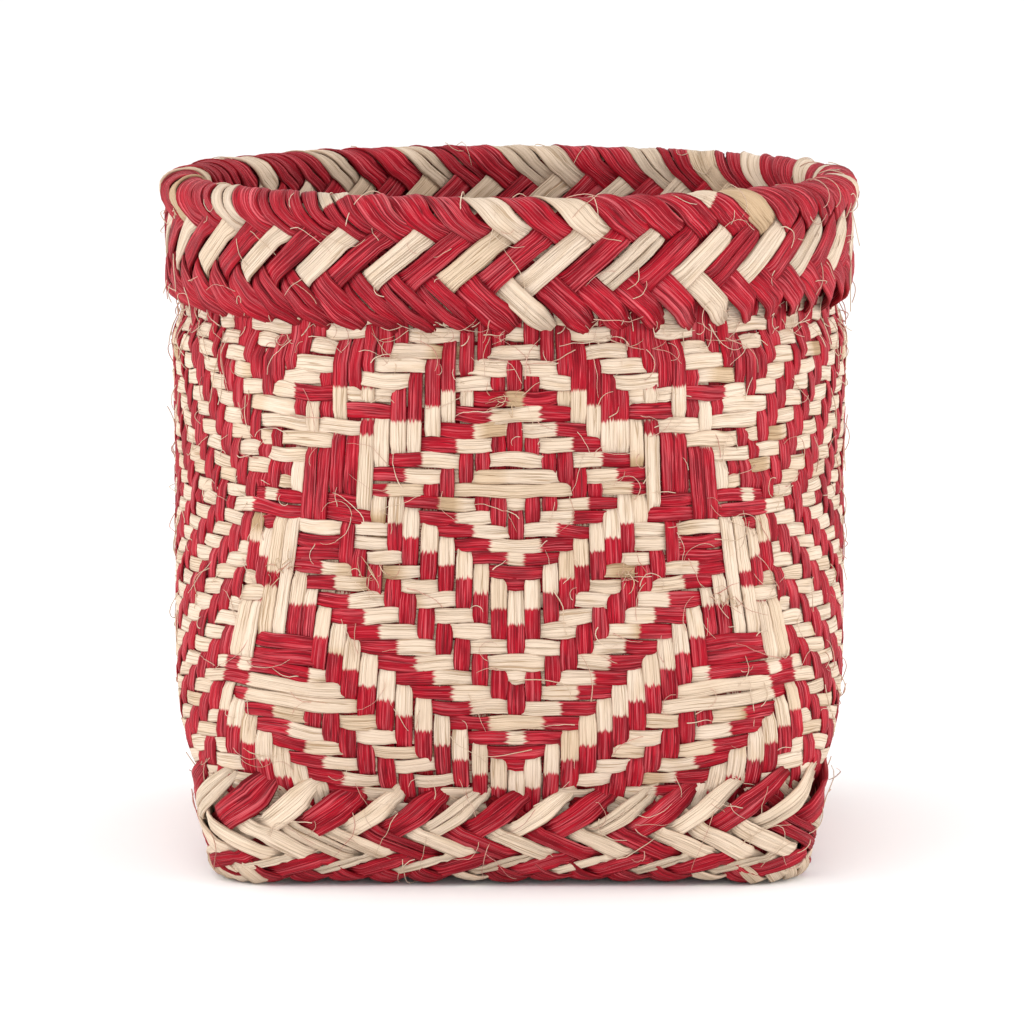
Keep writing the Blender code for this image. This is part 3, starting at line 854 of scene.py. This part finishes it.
def make_weaver(paths, weave, look, index):
    """One row of weavers, all round the wall."""
    rng = paths.rng
    row = weave.rows[index]
    stakes = np.roll(np.arange(STAKES), -WEAVER_START)
    stakes = np.roll(stakes, -np.argmax(weave.stake_on_top[stakes, index]))
    turn = stake_turn((stakes[:, None] + STEPS_IN_CROSSING).ravel())
    heights, snug = crossing_heights(~weave.stake_on_top[stakes, index], True)
    circle = turn * 2 * math.pi
    z = row_height(row, turn) + ring_waves(rng, circle, *WANDER_WAVES) * look.wander
    pitch = np.abs(row_height(row + 0.5, turn) - row_height(row - 0.5, turn))
    place, facing, _ = stand_off(wall_place, turn, z, WEAVE_DEPTH + heights * look.weave_swing)
    roll = ring_waves(rng, circle, *TILT_WAVES) * look.tilt
    swell = 1 + WEAVER_WIDTH_CHANGE * ring_waves(rng, circle, *SWELL_WAVES)
    tone = rng.uniform(0, 1) ** 3
    tone = tone + WEAVER_TONE_CHANGE * np.sin(circle * rng.integers(1, 5) + rng.uniform(0, 6))
    tone = np.maximum(tone + old_patches(rng, turn, look.old_weavers, WEAVER_PATCH), frayed_tone(turn, z))
    half_width = pitch * look.weaver_share / 2 * snug * swell * rng.uniform(*WEAVER_WIDTHS)
    dye = soft_dye(np.repeat(weave.weaver_dye[stakes, index], 3), True)
    tuck = (1 - heights) / 2
    paths.add(place, facing, half_width, dye, tone=tone, tuck=tuck, closed=True, roll=roll)


def strand_height(travel, edges, first_on_top):
    """How high a strand rides in its braid, where it changes sides at the edge of every row."""
    row = np.searchsorted(edges, travel) - 1
    nearest = np.min(np.abs(travel[:, None] - np.asarray(edges)[None, 1:-1]), 1)
    on_top = (row % 2 == 0) == first_on_top
    return np.where(on_top, 1.0, -1.0) * np.sin(math.pi / 2 * np.clip(nearest / SIDE_CHANGE, 0, 1))


def row_share(travel, edges):
    """The row that a strand is in, and how far it is through it, from 0 to 1."""
    row = np.clip(np.searchsorted(edges, travel) - 1, 0, len(edges) - 2)
    edges = np.asarray(edges)
    return row, np.clip((travel - edges[row]) / (edges[row + 1] - edges[row]), 0, 1)


def make_strand(paths, look, surface, braid, number, slant, dye_of):
    """One strand of a braid, from its upper to its lower edge.

    slant is 1 where it moves to the right on its way down and -1 where it moves to the left. Its ends
    narrow and turn in under the braid's edge, and an end that lies under others is cut shorter.
    """
    rng = paths.rng
    edges = braid["travel"]
    first_on_top = slant == -1
    last_on_top = first_on_top == (len(edges) % 2 == 0)
    first = edges[0] + (0 if first_on_top else HIDDEN_END)
    last = edges[-1] - (0 if last_on_top else HIDDEN_END)
    travel = np.arange(first, last + 0.01, TRAVEL_STEP)
    dye, tone = dye_of(rng, number, slant, travel)
    height = strand_height(travel, edges, first_on_top)
    ending = 1 - smooth_step(np.minimum(travel - first, last - travel) / braid["ending"])
    tuck = np.maximum((1 - height) / 2, END_TUCK * ending**3)
    height = height - ending * (height + END_DEPTH)
    down = np.interp(travel, edges, braid["down"])
    wander = slow_wave(rng, travel, STRAND_WANDER_SCALE) * STRAND_WANDER
    turn = (number + braid["phase"] + slant * (travel + wander)) / BRAID_PITCHES
    outward = height * look.swing + rng.uniform(-STRAND_STRAY, STRAND_STRAY)
    place, facing, along = stand_off(surface, turn, -down, outward)
    tangent = path_directions(place, False)
    half_pitch = 0.5 / BRAID_PITCHES
    pitch = np.linalg.norm(surface(turn + half_pitch, -down) - surface(turn - half_pitch, -down), axis=1)
    apart = pitch * np.linalg.norm(np.cross(tangent, along), axis=1)
    row, through = row_share(travel, edges)
    leaf = braid["waist"] + (1 - braid["waist"]) * np.sin(math.pi * through) ** LEAF_ROUNDNESS
    red_share, natural_share = (np.asarray(braid[name])[row] for name in ("red_shares", "natural_shares"))
    share = look.share * np.where(dye > 0.5, red_share, natural_share)
    half_width = apart * share / 2 * leaf * (1 - END_TAPER * ending) * rng.uniform(*STRAND_WIDTHS)
    roll = braid["lean"] + (rng.uniform(-1, 1) + slow_wave(rng, travel, STRAND_TILT_SCALE)) * look.tilt
    if rng.uniform() > look.split_share:
        paths.add(place, facing, half_width, dye, tone=tone, tuck=tuck, roll=roll)
        return
    side = np.cross(tangent, facing)
    left_part = rng.uniform(*SPLIT_SHARES)
    for sign, part in ((-1, left_part), (1, 1 - left_part)):
        shift = sign * half_width * (1 - part) * SPLIT_GAP
        spot = place + side * shift[:, None] + facing * (rng.uniform(*SPLIT_LIFTS) * MM)
        tip = roll + sign * rng.uniform(0, SPLIT_TIP)
        paths.add(spot, facing, half_width * part * SPLIT_WIDTH, dye, tone=tone, tuck=tuck, roll=tip)


def make_braid(name, seed, look, material, surface, braid, dye_of, nodes):
    """A braid in two pieces, one for each way its strands slant. dye_of gives a strand's dye and tone."""
    for way, slant in (("right", 1), ("left", -1)):
        paths = StripPaths(seed + slant)
        for number in range(BRAID_PITCHES):
            make_strand(paths, look, surface, braid, number, slant, dye_of)
        add_piece(f"{name}_{way}", paths, material, section_of(look), "braid_red", *nodes)


def rim_dye(rng, number, slant, travel):
    """Of the rim's strands that fall to the left every other is undyed, and a few of the others."""
    tone = rng.uniform(0, 1) ** 3
    if slant == -1:
        return np.full(len(travel), 0.0 if number % 2 else 1.0), tone
    above = 0.0 if number in RIM_NATURAL_ABOVE + RIM_BROWN else 1.0
    below = 0.0 if number in RIM_NATURAL_BELOW else 1.0
    dye = np.where(travel < RIM_DYE_CHANGE, above, below)
    if number in RIM_BARE_ON_TOP:
        dye = np.where(np.abs(travel) < RIM_BARE_REACH, 0.0, dye)
    return dye, BROWN_TONE if number in RIM_BROWN else tone


def foot_dye(rng, number, slant, travel):
    """Of the foot's strands every other is undyed, and a few more near its corners."""
    natural = number % 2 == (slant == -1) or (slant == 1 and number in FOOT_NATURAL_TOO)
    dye = np.full(len(travel), 0.0 if natural else 1.0)
    if rng.uniform() < FOOT_RED_END_SHARE:
        dye = np.where(travel > FOOT_BRAID["travel"][-2], 1.0, dye)
    return dye, FOOT_TONE * rng.uniform(0, 1) ** 3


def make_wrap(paths, look, corner):
    """The strips that go round under one bottom corner, where the basket stands."""
    rng = paths.rng
    share = np.linspace(0, 1, WRAP_POINTS)
    ends = smooth_step(np.minimum(share, 1 - share) / WRAP_END_SHARE)
    top, bottom = look.wrap_reach
    for strip in range(WRAP_STRIPS):
        aside = (strip - (WRAP_STRIPS - 1) / 2) * WRAP_PITCH
        slide = look.wrap_slant * (share - WRAP_MIDDLE)
        slide = slide + WRAP_WANDER * slow_wave(rng, share, WRAP_WANDER_SCALE)
        turn = (corner + 0.5) / 4 + (aside + slide) / BRAID_PITCHES
        up = -(top + (bottom - top) * share) - rng.uniform(-WRAP_STRAY, WRAP_STRAY)
        rise = WRAP_START_HEIGHT + (1 - WRAP_START_HEIGHT) * smooth_step(share * WRAP_RISE_SPEED)
        outward = (look.swing + WRAP_CLEARANCE) * rise
        outward = outward + ends * WRAP_BULGE + WRAP_STEP * math.cos(WRAP_STEP_ANGLE * strip)
        place, facing, _ = stand_off(foot_surface, turn, up, outward)
        place[:, 2] = np.maximum(place[:, 2], look.thickness / 2 + WRAP_FLOOR_GAP)
        fullness = WRAP_END_WIDTH + (1 - WRAP_END_WIDTH) * ends
        half_width = look.wrap_width / 2 * fullness * rng.uniform(*WRAP_WIDTHS)
        tone = rng.uniform(*WRAP_TONES)
        roll = rng.uniform(-WRAP_ROLL, WRAP_ROLL)
        paths.add(place, facing, half_width, 0.0, tone=tone, tuck=WRAP_TUCK * (1 - ends), roll=roll)


def make_hair(paths, look, surface, turn, up, height, tones=HAIR_TONES, shorter=1.0):
    """One loose fibre, which leaves the weave and comes back to it or ends in the air."""
    rng = paths.rng
    size = int(rng.integers(*HAIR_POINTS))
    share = np.linspace(0, 1, size)
    bends = rng.normal(0, look.curl) + rng.normal(0, look.curl, size)
    headings = rng.uniform(0, 2 * math.pi) + np.cumsum(bends)
    step = rng.uniform(*look.length) / size * shorter
    turns = turn + np.cumsum(np.cos(headings)) * step / (2 * math.pi * RIM_WALL_RADIUS)
    ups = up + np.cumsum(np.sin(headings)) * step
    rise = rng.uniform(HAIR_LEAST_RISE, 1) ** 2 * look.rise
    arch = np.sin(math.pi * share) if rng.uniform() < HAIR_ARCHED_SHARE else share**1.5
    place, facing, _ = stand_off(surface, turns, ups, height + rise * arch)
    place[:, 2] = np.maximum(place[:, 2], look.width)
    half_width = look.width / 2 * rng.uniform(*HAIR_WIDTHS) * (1 - HAIR_TAPER * share)
    dye = HAIR_STAIN if rng.uniform() < HAIR_STAINED_SHARE else 0.0
    paths.add(place, facing, half_width, dye, tone=rng.uniform(*tones))


def mixed(tree, share, first, second, blend="MIX"):
    """A colour between two others. Each is a socket or a colour."""
    inputs = {0: share, 6: first, 7: second}
    return add_node(tree, "ShaderNodeMix", inputs, data_type="RGBA", blend_type=blend).outputs[2]


def masked(tree, name, value):
    """The mask of that name, made from a value."""
    inputs = dict(zip(("From Min", "From Max", "To Min", "To Max"), MASKS[name]))
    return add_node(tree, "ShaderNodeMapRange", {"Value": value, **inputs}).outputs["Result"]


def fibre_grain(name):
    """Lines along a strip: Streak is broad, Hair fine, Blotch slow, and Crack marks thin dark lines."""
    inputs = dict.fromkeys(("Across", "Along", "Strand", "Fibres"), "Float")
    tree, given, made = new_tree(name, "ShaderNodeTree", inputs, dict.fromkeys(GRAIN, "Float"))
    apart = product(tree, given["Strand"], STRAND_SPREAD)
    lines = product(tree, given["Across"], given["Fibres"])
    for label, (line_scale, along_scale, detail) in GRAIN.items():
        place = {
            "X": product(tree, lines, line_scale),
            "Y": product(tree, given["Along"], along_scale),
            "Z": math_node(tree, "ADD", apart, line_scale),
        }
        spot = add_node(tree, "ShaderNodeCombineXYZ", place).outputs[0]
        noise = add_node(tree, "ShaderNodeTexNoise", {"Vector": spot, "Scale": 1.0, "Detail": detail})
        value = noise.outputs["Fac"]
        if label == "Crack":
            off_middle = math_node(tree, "ABSOLUTE", math_node(tree, "SUBTRACT", value, 0.5))
            value = masked(tree, "crack", off_middle)
        tree.links.new(value, made[label])
    return tree


def strip_colour(name):
    """A strip's colour from its dye and grain, and painted shade where it is tucked and at its edges."""
    inputs = dict.fromkeys(("Across", "Dye", "Tone", "Tuck", "Ridge", *GRAIN, "Wear"), "Float")
    inputs.update(dict.fromkeys(("Red", "Worn Red", "Deep Red", "Natural", "Tan", "Brown"), "Color"))
    tree, put, made = new_tree(name, "ShaderNodeTree", inputs, {"Colour": "Color"})
    ragged = math_node(tree, "SUBTRACT", put["Streak"], 0.5)
    ragged = math_node(tree, "MULTIPLY_ADD", ragged, DYE_RAGGEDNESS, put["Dye"])
    dyed = masked(tree, "dyed", ragged)
    crack = product(tree, put["Crack"], CRACK_DARKNESS)
    dark = math_node(tree, "MAXIMUM", crack, masked(tree, "fine lines", put["Hair"]))
    # Worn red along streaks, ridges and fine fibres, raised on faces that look up as a painted highlight
    worn = product(tree, masked(tree, "worn streaks", put["Streak"]), put["Wear"])
    worn = product(tree, worn, masked(tree, "worn ridges", put["Ridge"]))
    worn = math_node(tree, "MAXIMUM", worn, masked(tree, "worn fibres", put["Hair"]))
    red = mixed(tree, masked(tree, "deep red", put["Blotch"]), put["Red"], put["Deep Red"])
    red = mixed(tree, worn, red, put["Worn Red"])
    red = mixed(tree, product(tree, dark, RED_LINES), red, put["Deep Red"])
    tanned = product(tree, put["Tone"], TONE_TAN)
    tanned = math_node(tree, "MAXIMUM", tanned, masked(tree, "tan", put["Blotch"]))
    natural = mixed(tree, tanned, put["Natural"], put["Tan"])
    natural = mixed(tree, masked(tree, "old", put["Tone"]), natural, put["Brown"])
    lines = product(tree, dark, masked(tree, "brown lines", put["Tone"]))
    natural = mixed(tree, lines, natural, put["Brown"])
    colour = mixed(tree, dyed, natural, red)
    # Painted shade: darker where the strip is tucked under others and along its edges, less on undyed
    # strips
    painted_edge_shade = masked(tree, "painted_edge_shade", math_node(tree, "ABSOLUTE", put["Across"]))
    painted_shade = math_node(tree, "MAXIMUM", masked(tree, "painted_crevice_shade", put["Tuck"]), painted_edge_shade)
    painted_shade = product(tree, painted_shade, masked(tree, "painted_shade_by_dye", dyed))
    tree.links.new(mixed(tree, painted_shade, colour, SHADE_COLOUR, "MULTIPLY"), made["Colour"])
    return tree


def fibre_material(context, name, fibres, wear, bump, natural="natural"):
    """Plant strip, dyed or natural as its dye attribute says. natural is the name of its undyed colour."""
    colours = context.scene.basket.colours
    material = bpy.data.materials.new(name)
    material.use_nodes = True
    tree = material.node_tree
    shader = tree.nodes["Principled BSDF"]
    carried = {}
    for kind in ("across", "along", "strand", "dye", "tone", "tuck", "ridge"):
        carried[kind.title()] = add_node(tree, "ShaderNodeAttribute", attribute_name=kind).outputs["Fac"]
    place = tree.nodes.new("ShaderNodeTexCoord").outputs
    level = math_node(tree, "MULTIPLY", place["Object"], (1, 1, 0), kind="ShaderNodeVectorMath")
    inputs = {0: level, 1: place["Normal"]}
    outward = add_node(tree, "ShaderNodeVectorMath", inputs, operation="DOT_PRODUCT").outputs["Value"]
    carried["Tone"] = math_node(tree, "ADD", carried["Tone"], masked(tree, "inside", outward))
    # Painted highlight: faces that look up take more of the worn red, as if lit from above
    facing = add_node(tree, "ShaderNodeSeparateXYZ", {0: place["Normal"]}).outputs
    wear_and_top_highlight = math_node(tree, "ADD", masked(tree, "painted top highlight", facing["Z"]), wear)
    inputs = {kind: carried[kind] for kind in ("Across", "Along", "Strand")}
    inputs["Fibres"] = fibres
    group = shared_tree("Fibre grain", fibre_grain)
    grain = add_node(tree, "ShaderNodeGroup", inputs, node_tree=group).outputs
    inputs = {kind: carried[kind] for kind in ("Across", "Dye", "Tone", "Tuck", "Ridge")}
    inputs.update((line, grain[line]) for line in GRAIN)
    for kind in ("red", "worn_red", "deep_red", "tan", "brown"):
        inputs[kind.replace("_", " ").title()] = getattr(colours, kind)
    inputs["Natural"] = getattr(colours, natural)
    inputs["Wear"] = wear_and_top_highlight
    group = shared_tree("Strip colour", strip_colour)
    colour = add_node(tree, "ShaderNodeGroup", inputs, node_tree=group).outputs["Colour"]
    tree.links.new(colour, shader.inputs["Base Color"])
    tree.links.new(masked(tree, "roughness", grain["Hair"]), shader.inputs["Roughness"])
    shader.inputs["Specular IOR Level"].default_value = SPECULAR
    height = math_node(tree, "MULTIPLY_ADD", grain["Hair"], RELIEF_HAIR, grain["Streak"])
    height = math_node(tree, "SUBTRACT", height, product(tree, grain["Crack"], RELIEF_CRACK))
    inputs = {"Strength": bump, "Distance": RELIEF_DEPTH, "Height": height}
    relief = add_node(tree, "ShaderNodeBump", inputs).outputs["Normal"]
    tree.links.new(relief, shader.inputs["Normal"])
    return material


def colour_setting(name, description, *default):
    """A colour that a user can change."""
    return bpy.props.FloatVectorProperty(
        name=name, description=description, default=(*default, 1), size=4, subtype="COLOR"
    )


def length_setting(name, description, default):
    """A length that a user can change."""
    return bpy.props.FloatProperty(name=name, description=description, default=default, unit="LENGTH")


def range_setting(name, description, *default):
    """Two lengths that a user can change."""
    return bpy.props.FloatVectorProperty(
        name=name, description=description, default=default, size=2, subtype="XYZ_LENGTH", unit="LENGTH"
    )


def share_setting(name, description, default):
    """A share of something that a user can change."""
    return bpy.props.FloatProperty(name=name, description=description, default=default, subtype="FACTOR")


def angle_setting(name, description, default):
    """An angle that a user can change."""
    return bpy.props.FloatProperty(name=name, description=description, default=default, subtype="ANGLE")


def count_setting(name, description, default):
    """A number of like things that a user can change."""
    return bpy.props.IntProperty(name=name, description=description, default=default)


class BasketColours(bpy.types.PropertyGroup):
    """Colours of the strips"""

    red: colour_setting("Red", "Dyed strip where it is neither worn nor in a crevice", 0.42, 0.003, 0.016)
    # Also the colour of the painted highlight on faces that look up
    worn_red: colour_setting("Worn red", "Dyed strip where the dye has rubbed thin", 0.74, 0.15, 0.17)
    deep_red: colour_setting("Deep red", "Dyed strip in its grooves", 0.12, 0.002, 0.006)
    natural: colour_setting("Natural", "Undyed strip", 0.73, 0.59, 0.465)
    # A lighter copy of the undyed colour: painted light for the floor's bounce on the foot
    foot_natural_painted_light: colour_setting("Natural at the foot", "Undyed strip of the foot braid", 0.84, 0.68, 0.525)
    tan: colour_setting("Tan", "Undyed strip where it has darkened", 0.58, 0.41, 0.25)
    brown: colour_setting("Brown", "Lines in the grooves of an undyed strip", 0.33, 0.2, 0.1)


class BasketWeave(bpy.types.PropertyGroup):
    """Strips of the wall and floor"""

    thickness: length_setting("Strip thickness", "Thickness of the stakes and weavers", 0.62 * MM)
    stake_share: share_setting("Stake share", "Width of a stake as a share of the pitch", 1.05)
    weaver_share: share_setting("Weaver share", "Width of a weaver as a share of the pitch", 1.05)
    weave_swing: length_setting("Swing", "How far a strip rides off the wall's middle", 0.42 * MM)
    old_stakes: share_setting("Brown stakes", "How often a stake has gone brown", 0.05)
    old_weavers: share_setting("Brown weavers", "How often a weaver has gone brown", 0.2)
    wander: length_setting("Wander", "How far a strip strays to the side", 0.3 * MM)
    tilt: angle_setting("Tilt", "How far a strip tips about its own length", math.radians(12))
    ridges: count_setting("Ridges", "Fibre ridges across a strip", 3)
    ridge_depth: share_setting("Ridge depth", "Depth of its grooves as a share of the thickness", 0.2)


class BasketBraid(bpy.types.PropertyGroup):
    """Strands of the two braids"""

    thickness: length_setting("Strand thickness", "Thickness of a strand", 0.95 * MM)
    share: share_setting("Strand share", "Width of a strand as a share of the distance to the next", 0.96)
    swing: length_setting("Swing", "How far a strand rides to each side of the braid's middle", 0.85 * MM)
    tilt: angle_setting("Tilt", "How far a strand tips about its own length", math.radians(6))
    split_share: share_setting("Split strands", "Share of the strands that are split in two", 0.3)
    ridges: count_setting("Ridges", "Fibre ridges across a strand", 4)
    ridge_depth: share_setting("Ridge depth", "Depth of its grooves as a share of the thickness", 0.17)
    wrap_width: length_setting("Wrap strip width", "Width of a strip round a corner", 3.0 * MM)
    wrap_slant: bpy.props.FloatProperty(
        name="Wrap slant",
        description="How far a strip round a corner strays to the side on its way, in pitches of the braid",
        default=1.5,
    )
    wrap_reach: range_setting(
        "Wrap reach", "How far below the foot braid's top a strip starts and ends", 11.8 * MM, 24.5 * MM
    )


class BasketHairs(bpy.types.PropertyGroup):
    """Loose fibres"""

    rim_count: count_setting("At the rim", "Loose fibres on the rim braid", 150)
    edge_count: count_setting("Under the rim", "Loose fibres along the rim braid's lower edge", 230)
    wall_count: count_setting("On the wall", "Loose fibres on the wall", 600)
    foot_count: count_setting("At the foot", "Loose fibres on the foot braid", 150)
    fray_count: count_setting("At a frayed spot", "Brown fibres at each frayed spot of the front", 12)
    width: length_setting("Width", "Width of a fibre where it leaves the weave", 0.2 * MM)
    rise: length_setting("Rise", "How far a fibre stands off the weave at most", 1.5 * MM)
    curl: angle_setting("Curl", "How much a fibre bends from point to point", 0.16)
    length: range_setting("Length", "Least and greatest length of a fibre", 3 * MM, 12 * MM)


class BasketStage(bpy.types.PropertyGroup):
    """Camera, light and floor"""

    distance: length_setting("Camera distance", "Distance of the camera from the middle of the rim", 1.3)
    rim_elevation: angle_setting(
        "Rim elevation", "Angle at which the camera looks down on the rim", math.radians(4.56)
    )
    pitch: angle_setting("Camera pitch", "Angle of the camera below level", math.radians(7.63))
    lens: bpy.props.FloatProperty(
        name="Lens", description="Focal length in millimetres", unit="CAMERA", default=223.9
    )
    world: bpy.props.FloatProperty(
        name="Surround light", description="Strength of the white light from all round", default=1.08
    )


class BasketSettings(bpy.types.PropertyGroup):
    """All settings of the basket"""

    colours: bpy.props.PointerProperty(type=BasketColours)
    weave: bpy.props.PointerProperty(type=BasketWeave)
    braid: bpy.props.PointerProperty(type=BasketBraid)
    hairs: bpy.props.PointerProperty(type=BasketHairs)
    stage: bpy.props.PointerProperty(type=BasketStage)


class BASKET_OT_stakes(bpy.types.Operator):
    """Weave the stakes: both sets, down the walls and through the floor"""

    bl_idname = "basket.stakes"
    bl_label = "Stakes"

    def execute(self, context):
        look = context.scene.basket.weave
        weave = WallWeave()
        material = fibre_material(context, "stake_fibre", fibres=1.0, wear=0.75, bump=0.7)
        for face, node in ((0, "stakes_front_back"), (1, "stakes_left_right")):
            for half, columns in enumerate((range(-OUTER_COLUMN, 0), range(0, OUTER_COLUMN + 1))):
                paths = StripPaths(10 + 2 * face + half)
                for column in columns:
                    make_stake(paths, weave, look, face, column)
                add_piece(f"{node}_strips_{half + 1}", paths, material, section_of(look), "stakes", node)
        return {"FINISHED"}


class BASKET_OT_weavers(bpy.types.Operator):
    """Weave the rows that go round the wall"""

    bl_idname = "basket.weavers"
    bl_label = "Weavers"

    def execute(self, context):
        look = context.scene.basket.weave
        weave = WallWeave()
        material = fibre_material(context, "weaver_fibre", fibres=1.0, wear=0.7, bump=0.7)
        for number, indices in enumerate(np.array_split(np.arange(len(weave.rows)), 3)):
            paths = StripPaths(20 + number)
            for index in indices:
                make_weaver(paths, weave, look, index)
            name = f"weaver_rows_{number + 1}"
            add_piece(name, paths, material, section_of(look), "weavers", "weavers")
        return {"FINISHED"}


class BASKET_OT_rim_braid(bpy.types.Operator):
    """Braid the rim, rolled over the top to the inside"""

    bl_idname = "basket.rim_braid"
    bl_label = "Rim braid"

    def execute(self, context):
        look = context.scene.basket.braid
        material = fibre_material(context, "braid_fibre", fibres=1.7, wear=0.8, bump=0.8)
        solids = ["turned_stake_ends"] + [f"rim_strand_{number}" for number in range(1, 9)]
        make_braid("rim_braid", 30, look, material, rim_surface, RIM_BRAID, rim_dye, solids)
        return {"FINISHED"}


class BASKET_OT_foot_braid(bpy.types.Operator):
    """Braid the foot, turned under its edge"""

    bl_idname = "basket.foot_braid"
    bl_label = "Foot braid"

    def execute(self, context):
        look = context.scene.basket.braid
        # The foot's undyed strands take a lighter colour, painted light for the floor's bounce
        undyed = "foot_natural_painted_light"
        material = fibre_material(context, "foot_fibre", fibres=1.7, wear=0.8, bump=0.8, natural=undyed)
        solids = [f"foot_strand_{number}" for number in range(1, 9)]
        make_braid("foot_braid", 40, look, material, foot_surface, FOOT_BRAID, foot_dye, solids)
        return {"FINISHED"}


class BASKET_OT_corner_wraps(bpy.types.Operator):
    """Wrap the bottom corners"""

    bl_idname = "basket.corner_wraps"
    bl_label = "Corner wraps"

    def execute(self, context):
        look = context.scene.basket.braid
        material = fibre_material(context, "wrap_fibre", fibres=1.4, wear=0.6, bump=0.8)
        for corner, where in enumerate(("front_right", "back_right", "back_left", "front_left")):
            paths = StripPaths(50 + corner)
            make_wrap(paths, look, corner)
            name, solid = f"corner_strips_{where}", f"corner_wrap_{where}"
            add_piece(name, paths, material, section_of(look), "corner_wraps", solid)
        return {"FINISHED"}


class BASKET_OT_loose_fibres(bpy.types.Operator):
    """Let loose fibres stand off the weave"""

    bl_idname = "basket.loose_fibres"
    bl_label = "Loose fibres"

    def execute(self, context):
        look = context.scene.basket.hairs
        material = fibre_material(context, "hair_fibre", fibres=0.5, wear=0.9, bump=0.2)
        paths = StripPaths(60)
        rng = paths.rng
        # How many fibres, on which surface, between which heights up it and how far off it
        for count, surface, low, high, height in (
            (look.rim_count, rim_surface, -24 * MM, 1 * MM, 1.3 * MM),
            (look.edge_count, wall_place, 107 * MM, 113 * MM, 0.2 * MM),
            (look.wall_count, wall_place, 22 * MM, 112 * MM, -0.1 * MM),
            (look.foot_count, foot_surface, -12 * MM, 1 * MM, 1.3 * MM),
        ):
            for _ in range(count):
                make_hair(paths, look, surface, rng.uniform(0, 1), rng.uniform(low, high), height)
        for column, up in FRAYED_SPOTS:
            for _ in range(look.fray_count):
                turn = stake_turn(column + rng.normal(0, FRAY_COLUMNS))
                z = up + rng.normal(0, FRAY_HEIGHTS)
                make_hair(paths, look, wall_place, turn, z, 0.1 * MM, FRAY_TONES, FRAY_LENGTH)
        add_piece("loose_fibres", paths, material, (look.width, 1, 0.0), "braid_natural")
        return {"FINISHED"}


def link_object(scene, name, data, place=(0, 0, 0)):
    """A new object in the scene, at a place."""
    obj = bpy.data.objects.new(name, data)
    obj.location = place
    scene.collection.objects.link(obj)
    return obj


class BASKET_OT_stage(bpy.types.Operator):
    """Set up the camera, the light and the floor"""

    bl_idname = "basket.stage"
    bl_label = "Stage"

    def execute(self, context):
        look = context.scene.basket.stage
        scene = context.scene
        lens = bpy.data.cameras.new("camera")
        lens.lens = look.lens
        lens.sensor_width = 36
        lens.clip_end = 10
        back, up = math.cos(look.rim_elevation), math.sin(look.rim_elevation)
        place = (CAMERA_ASIDE, -look.distance * back, HEIGHT + look.distance * up)
        scene.camera = link_object(scene, "camera", lens, place)
        scene.camera.rotation_euler = (math.pi / 2 - look.pitch, 0, 0)
        scene.world = bpy.data.worlds.new("studio")
        scene.world.use_nodes = True
        background = scene.world.node_tree.nodes["Background"]
        background.inputs["Color"].default_value = (1, 1, 1, 1)
        background.inputs["Strength"].default_value = look.world
        scene.view_settings.view_transform = "Standard"
        for name, place, energy, size in LAMPS:
            lamp = bpy.data.lights.new(name, "AREA")
            lamp.energy = energy
            lamp.size = size
            light = link_object(scene, name, lamp, place)
            light.rotation_euler = (Vector(LAMP_AIM) - light.location).to_track_quat("-Z", "Y").to_euler()
        reach = FLOOR_REACH
        corners = [(-reach, -reach, 0), (reach, -reach, 0), (reach, reach, 0), (-reach, reach, 0)]
        mesh = bpy.data.meshes.new("floor")
        mesh.from_pydata(corners, [], [(0, 1, 2, 3)])
        paper = bpy.data.materials.new("floor_paper")
        paper.use_nodes = True
        shader = paper.node_tree.nodes["Principled BSDF"]
        shader.inputs["Base Color"].default_value = (0.93, 0.93, 0.93, 1)
        shader.inputs["Roughness"].default_value = 0.8
        mesh.materials.append(paper)
        floor = link_object(scene, "floor", mesh)
        return {"FINISHED"}


class BASKET_PT_panel(bpy.types.Panel):
    """Settings and steps of the basket"""

    bl_idname = "BASKET_PT_panel"
    bl_label = "Woven Basket"
    bl_space_type = "VIEW_3D"
    bl_region_type = "UI"
    bl_category = "Basket"

    def draw(self, context):
        basket = context.scene.basket
        for settings, steps in (
            (basket.colours, ()),
            (basket.weave, ("basket.stakes", "basket.weavers")),
            (basket.braid, ("basket.rim_braid", "basket.foot_braid", "basket.corner_wraps")),
            (basket.hairs, ("basket.loose_fibres",)),
            (basket.stage, ("basket.stage",)),
        ):
            box = self.layout.box()
            for name in settings.__annotations__:
                box.prop(settings, name)
            for step in steps:
                box.operator(step)


CLASSES = (
    BasketColours,
    BasketWeave,
    BasketBraid,
    BasketHairs,
    BasketStage,
    BasketSettings,
    BASKET_OT_stakes,
    BASKET_OT_weavers,
    BASKET_OT_rim_braid,
    BASKET_OT_foot_braid,
    BASKET_OT_corner_wraps,
    BASKET_OT_loose_fibres,
    BASKET_OT_stage,
    BASKET_PT_panel,
)


def register():
    """Makes the settings, operators and panel known to Blender."""
    for cls in CLASSES:
        bpy.utils.register_class(cls)
    bpy.types.Scene.basket = bpy.props.PointerProperty(type=BasketSettings)


def unregister():
    """Takes them out again."""
    del bpy.types.Scene.basket
    for cls in reversed(CLASSES):
        bpy.utils.unregister_class(cls)


def main():
    """Builds the basket and its stage."""
    register()
    bpy.ops.basket.stage()
    bpy.ops.basket.stakes()
    bpy.ops.basket.weavers()
    bpy.ops.basket.rim_braid()
    bpy.ops.basket.foot_braid()
    bpy.ops.basket.corner_wraps()
    bpy.ops.basket.loose_fibres()


if __name__ == "__main__":
    main()
